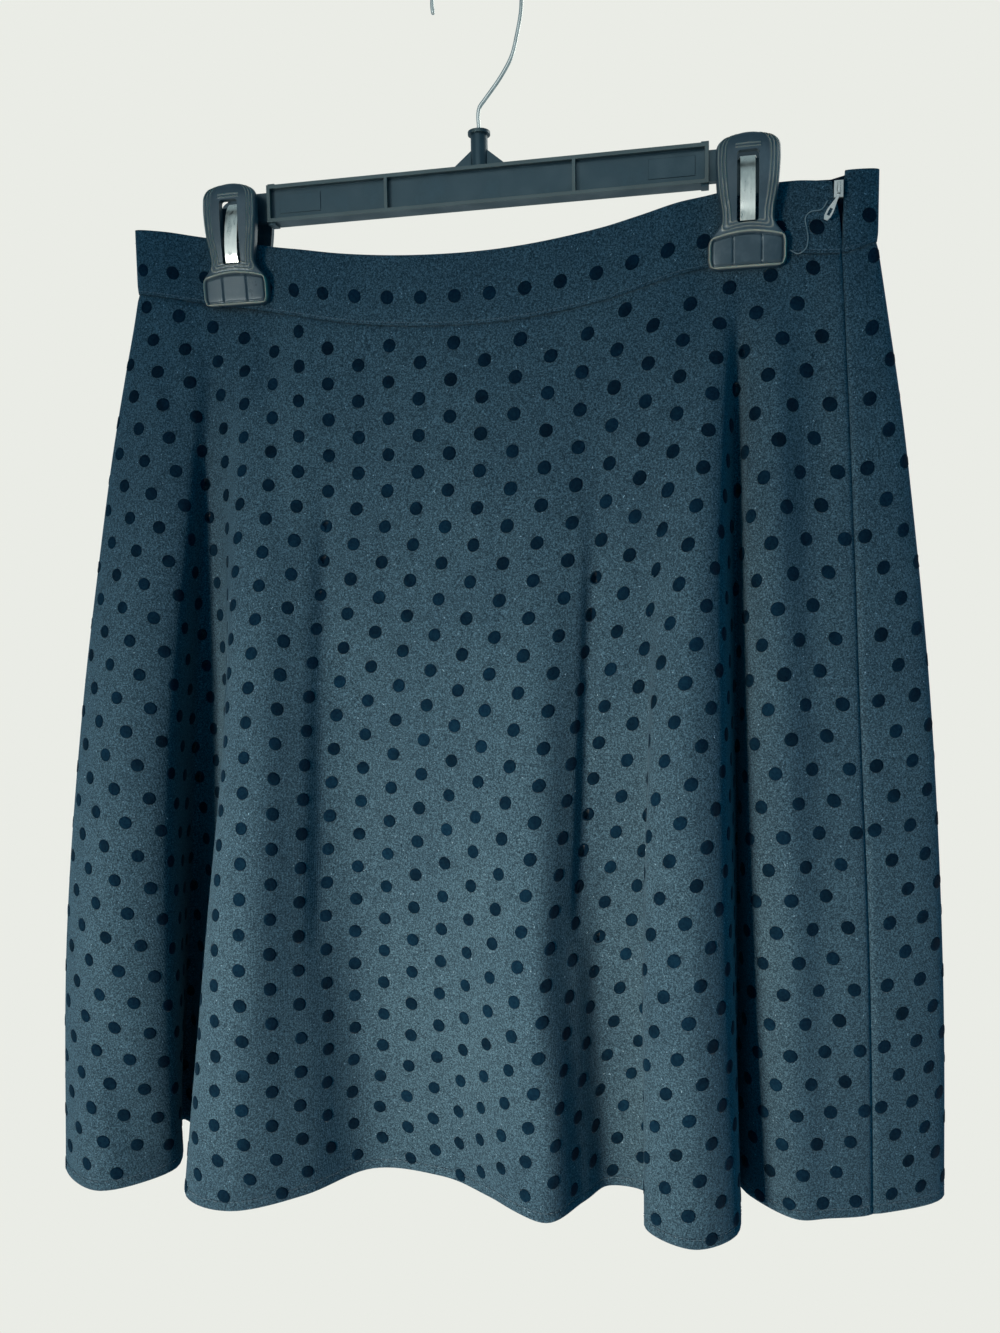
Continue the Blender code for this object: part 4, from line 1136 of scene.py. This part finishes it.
def studio():
    """Pale surroundings, soft light and a pale floor well below the skirt."""
    bpy.context.scene.view_settings.view_transform = "Standard"
    world = bpy.data.worlds.new("Pale room")
    bpy.context.scene.world = world
    world.use_nodes = True
    nodes, links = world.node_tree.nodes, world.node_tree.links
    below = nodes["Background"]
    below.inputs["Color"].default_value = (*ROOM_LIGHT, 1.0)
    below.inputs["Strength"].default_value = ROOM_STRENGTH
    ray = nodes.new("ShaderNodeLightPath")
    for kind, tone in (("Is Glossy Ray", ROOM_MIRRORED), ("Is Camera Ray", WALL_TONE)):
        above = nodes.new("ShaderNodeBackground")
        above.inputs["Color"].default_value = (*tone, 1.0)
        mix = nodes.new("ShaderNodeMixShader")
        links.new(ray.outputs[kind], mix.inputs["Fac"])
        links.new(below.outputs[0], mix.inputs[1])
        links.new(above.outputs[0], mix.inputs[2])
        below = mix
    links.new(below.outputs[0], nodes["World Output"].inputs["Surface"])
    for row in LIGHTS:
        area_light(*row)
    floor = Look("pale_floor").finish({"Base Color": FLOOR_BASE, "Roughness": 0.9, "Emission Color": WALL_TONE,
                                       "Emission Strength": FLOOR_GLOW})
    x0, x1, y0, y1, z = FLOOR
    verts = [(x0, y0, z), (x1, y0, z), (x1, y1, z), (x0, y1, z)]
    pale_floor = mesh_object("floor", verts, [(0, 1, 2, 3)], floor, smooth=False, closed=False)
    pale_floor.visible_diffuse = False


def photo_camera():
    """The camera that took the photo."""
    data = bpy.data.cameras.new("Photo camera")
    data.lens = FOCAL_PIXELS * SENSOR / PHOTO_HEIGHT
    data.sensor_width = SENSOR
    data.clip_start = NEAR_CLIP
    camera = bpy.data.objects.new("Photo camera", data)
    bpy.context.collection.objects.link(camera)
    tipped = Matrix.Rotation(math.pi / 2 - CAMERA_PITCH, 4, "X") @ Matrix.Rotation(-CAMERA_ROLL, 4, "Z")
    camera.matrix_world = Matrix.Translation(CAMERA_AT) @ Matrix.Rotation(CAMERA_YAW, 4, "Z") @ tipped
    bpy.context.scene.camera = camera


def main():
    made = cloth_pieces()
    # both plastics carry a painted highlight where marked
    bar = plastic_material("bar_plastic", BAR_TONE, BAR_WORN, BAR_PAINTED_HIGHLIGHT, 0.36, BAR_SHINE)
    jaws = plastic_material("jaw_plastic", JAW_TONE, JAW_WORN, JAW_PAINTED_HIGHLIGHT, 0.34, JAW_SHINE)
    bevelled_copy("hanger_bar", "hanger_bar_moulding", bar, 0.35 * MM)
    steel = metal_material("hook_wire", WIRE_TONE, 0.22, (1.0, 1.0, 0.2))
    hook = wire("hanger_hook_wire", hook_line(), WIRE_RADIUS, 16, steel)
    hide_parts("hanger_hook")
    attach(hook, ROOT)
    strip = metal_material("spring_strip", STRIP_TONE, 0.32, (1.0, 1.0, 0.2))
    for label, centre_x in (("left", -CLIP_X), ("right", CLIP_X)):
        for face, side in (("front", -1), ("back", 1)):
            node = f"{label}_clip_{face}_jaw"
            clip_jaw(node + "_moulding", node, centre_x, side, jaws)
        clip_spring(f"{label}_clip_spring_strip", f"{label}_clip_spring", centre_x, strip)
        clip_core(f"{label}_clip_core", centre_x, bar)
    zip_metal = metal_material("zip_metal", ZIP_TONE, 0.30, (1.0, 1.0, 1.0))
    bevelled_copy("zip_slider", "zip_slider_body", zip_metal, 0.25 * MM)
    bevelled_copy("zip_pull_tab", "zip_pull_tab_drop", zip_metal, 0.18 * MM, TAB_BODY)
    pale = thread_material("lint_fibre", LINT_TONE, LINT_TONE)
    lint_on([(made[panel][0], shell, count) for panel, shell, count in LINT], pale)
    studio()
    photo_camera()


main()
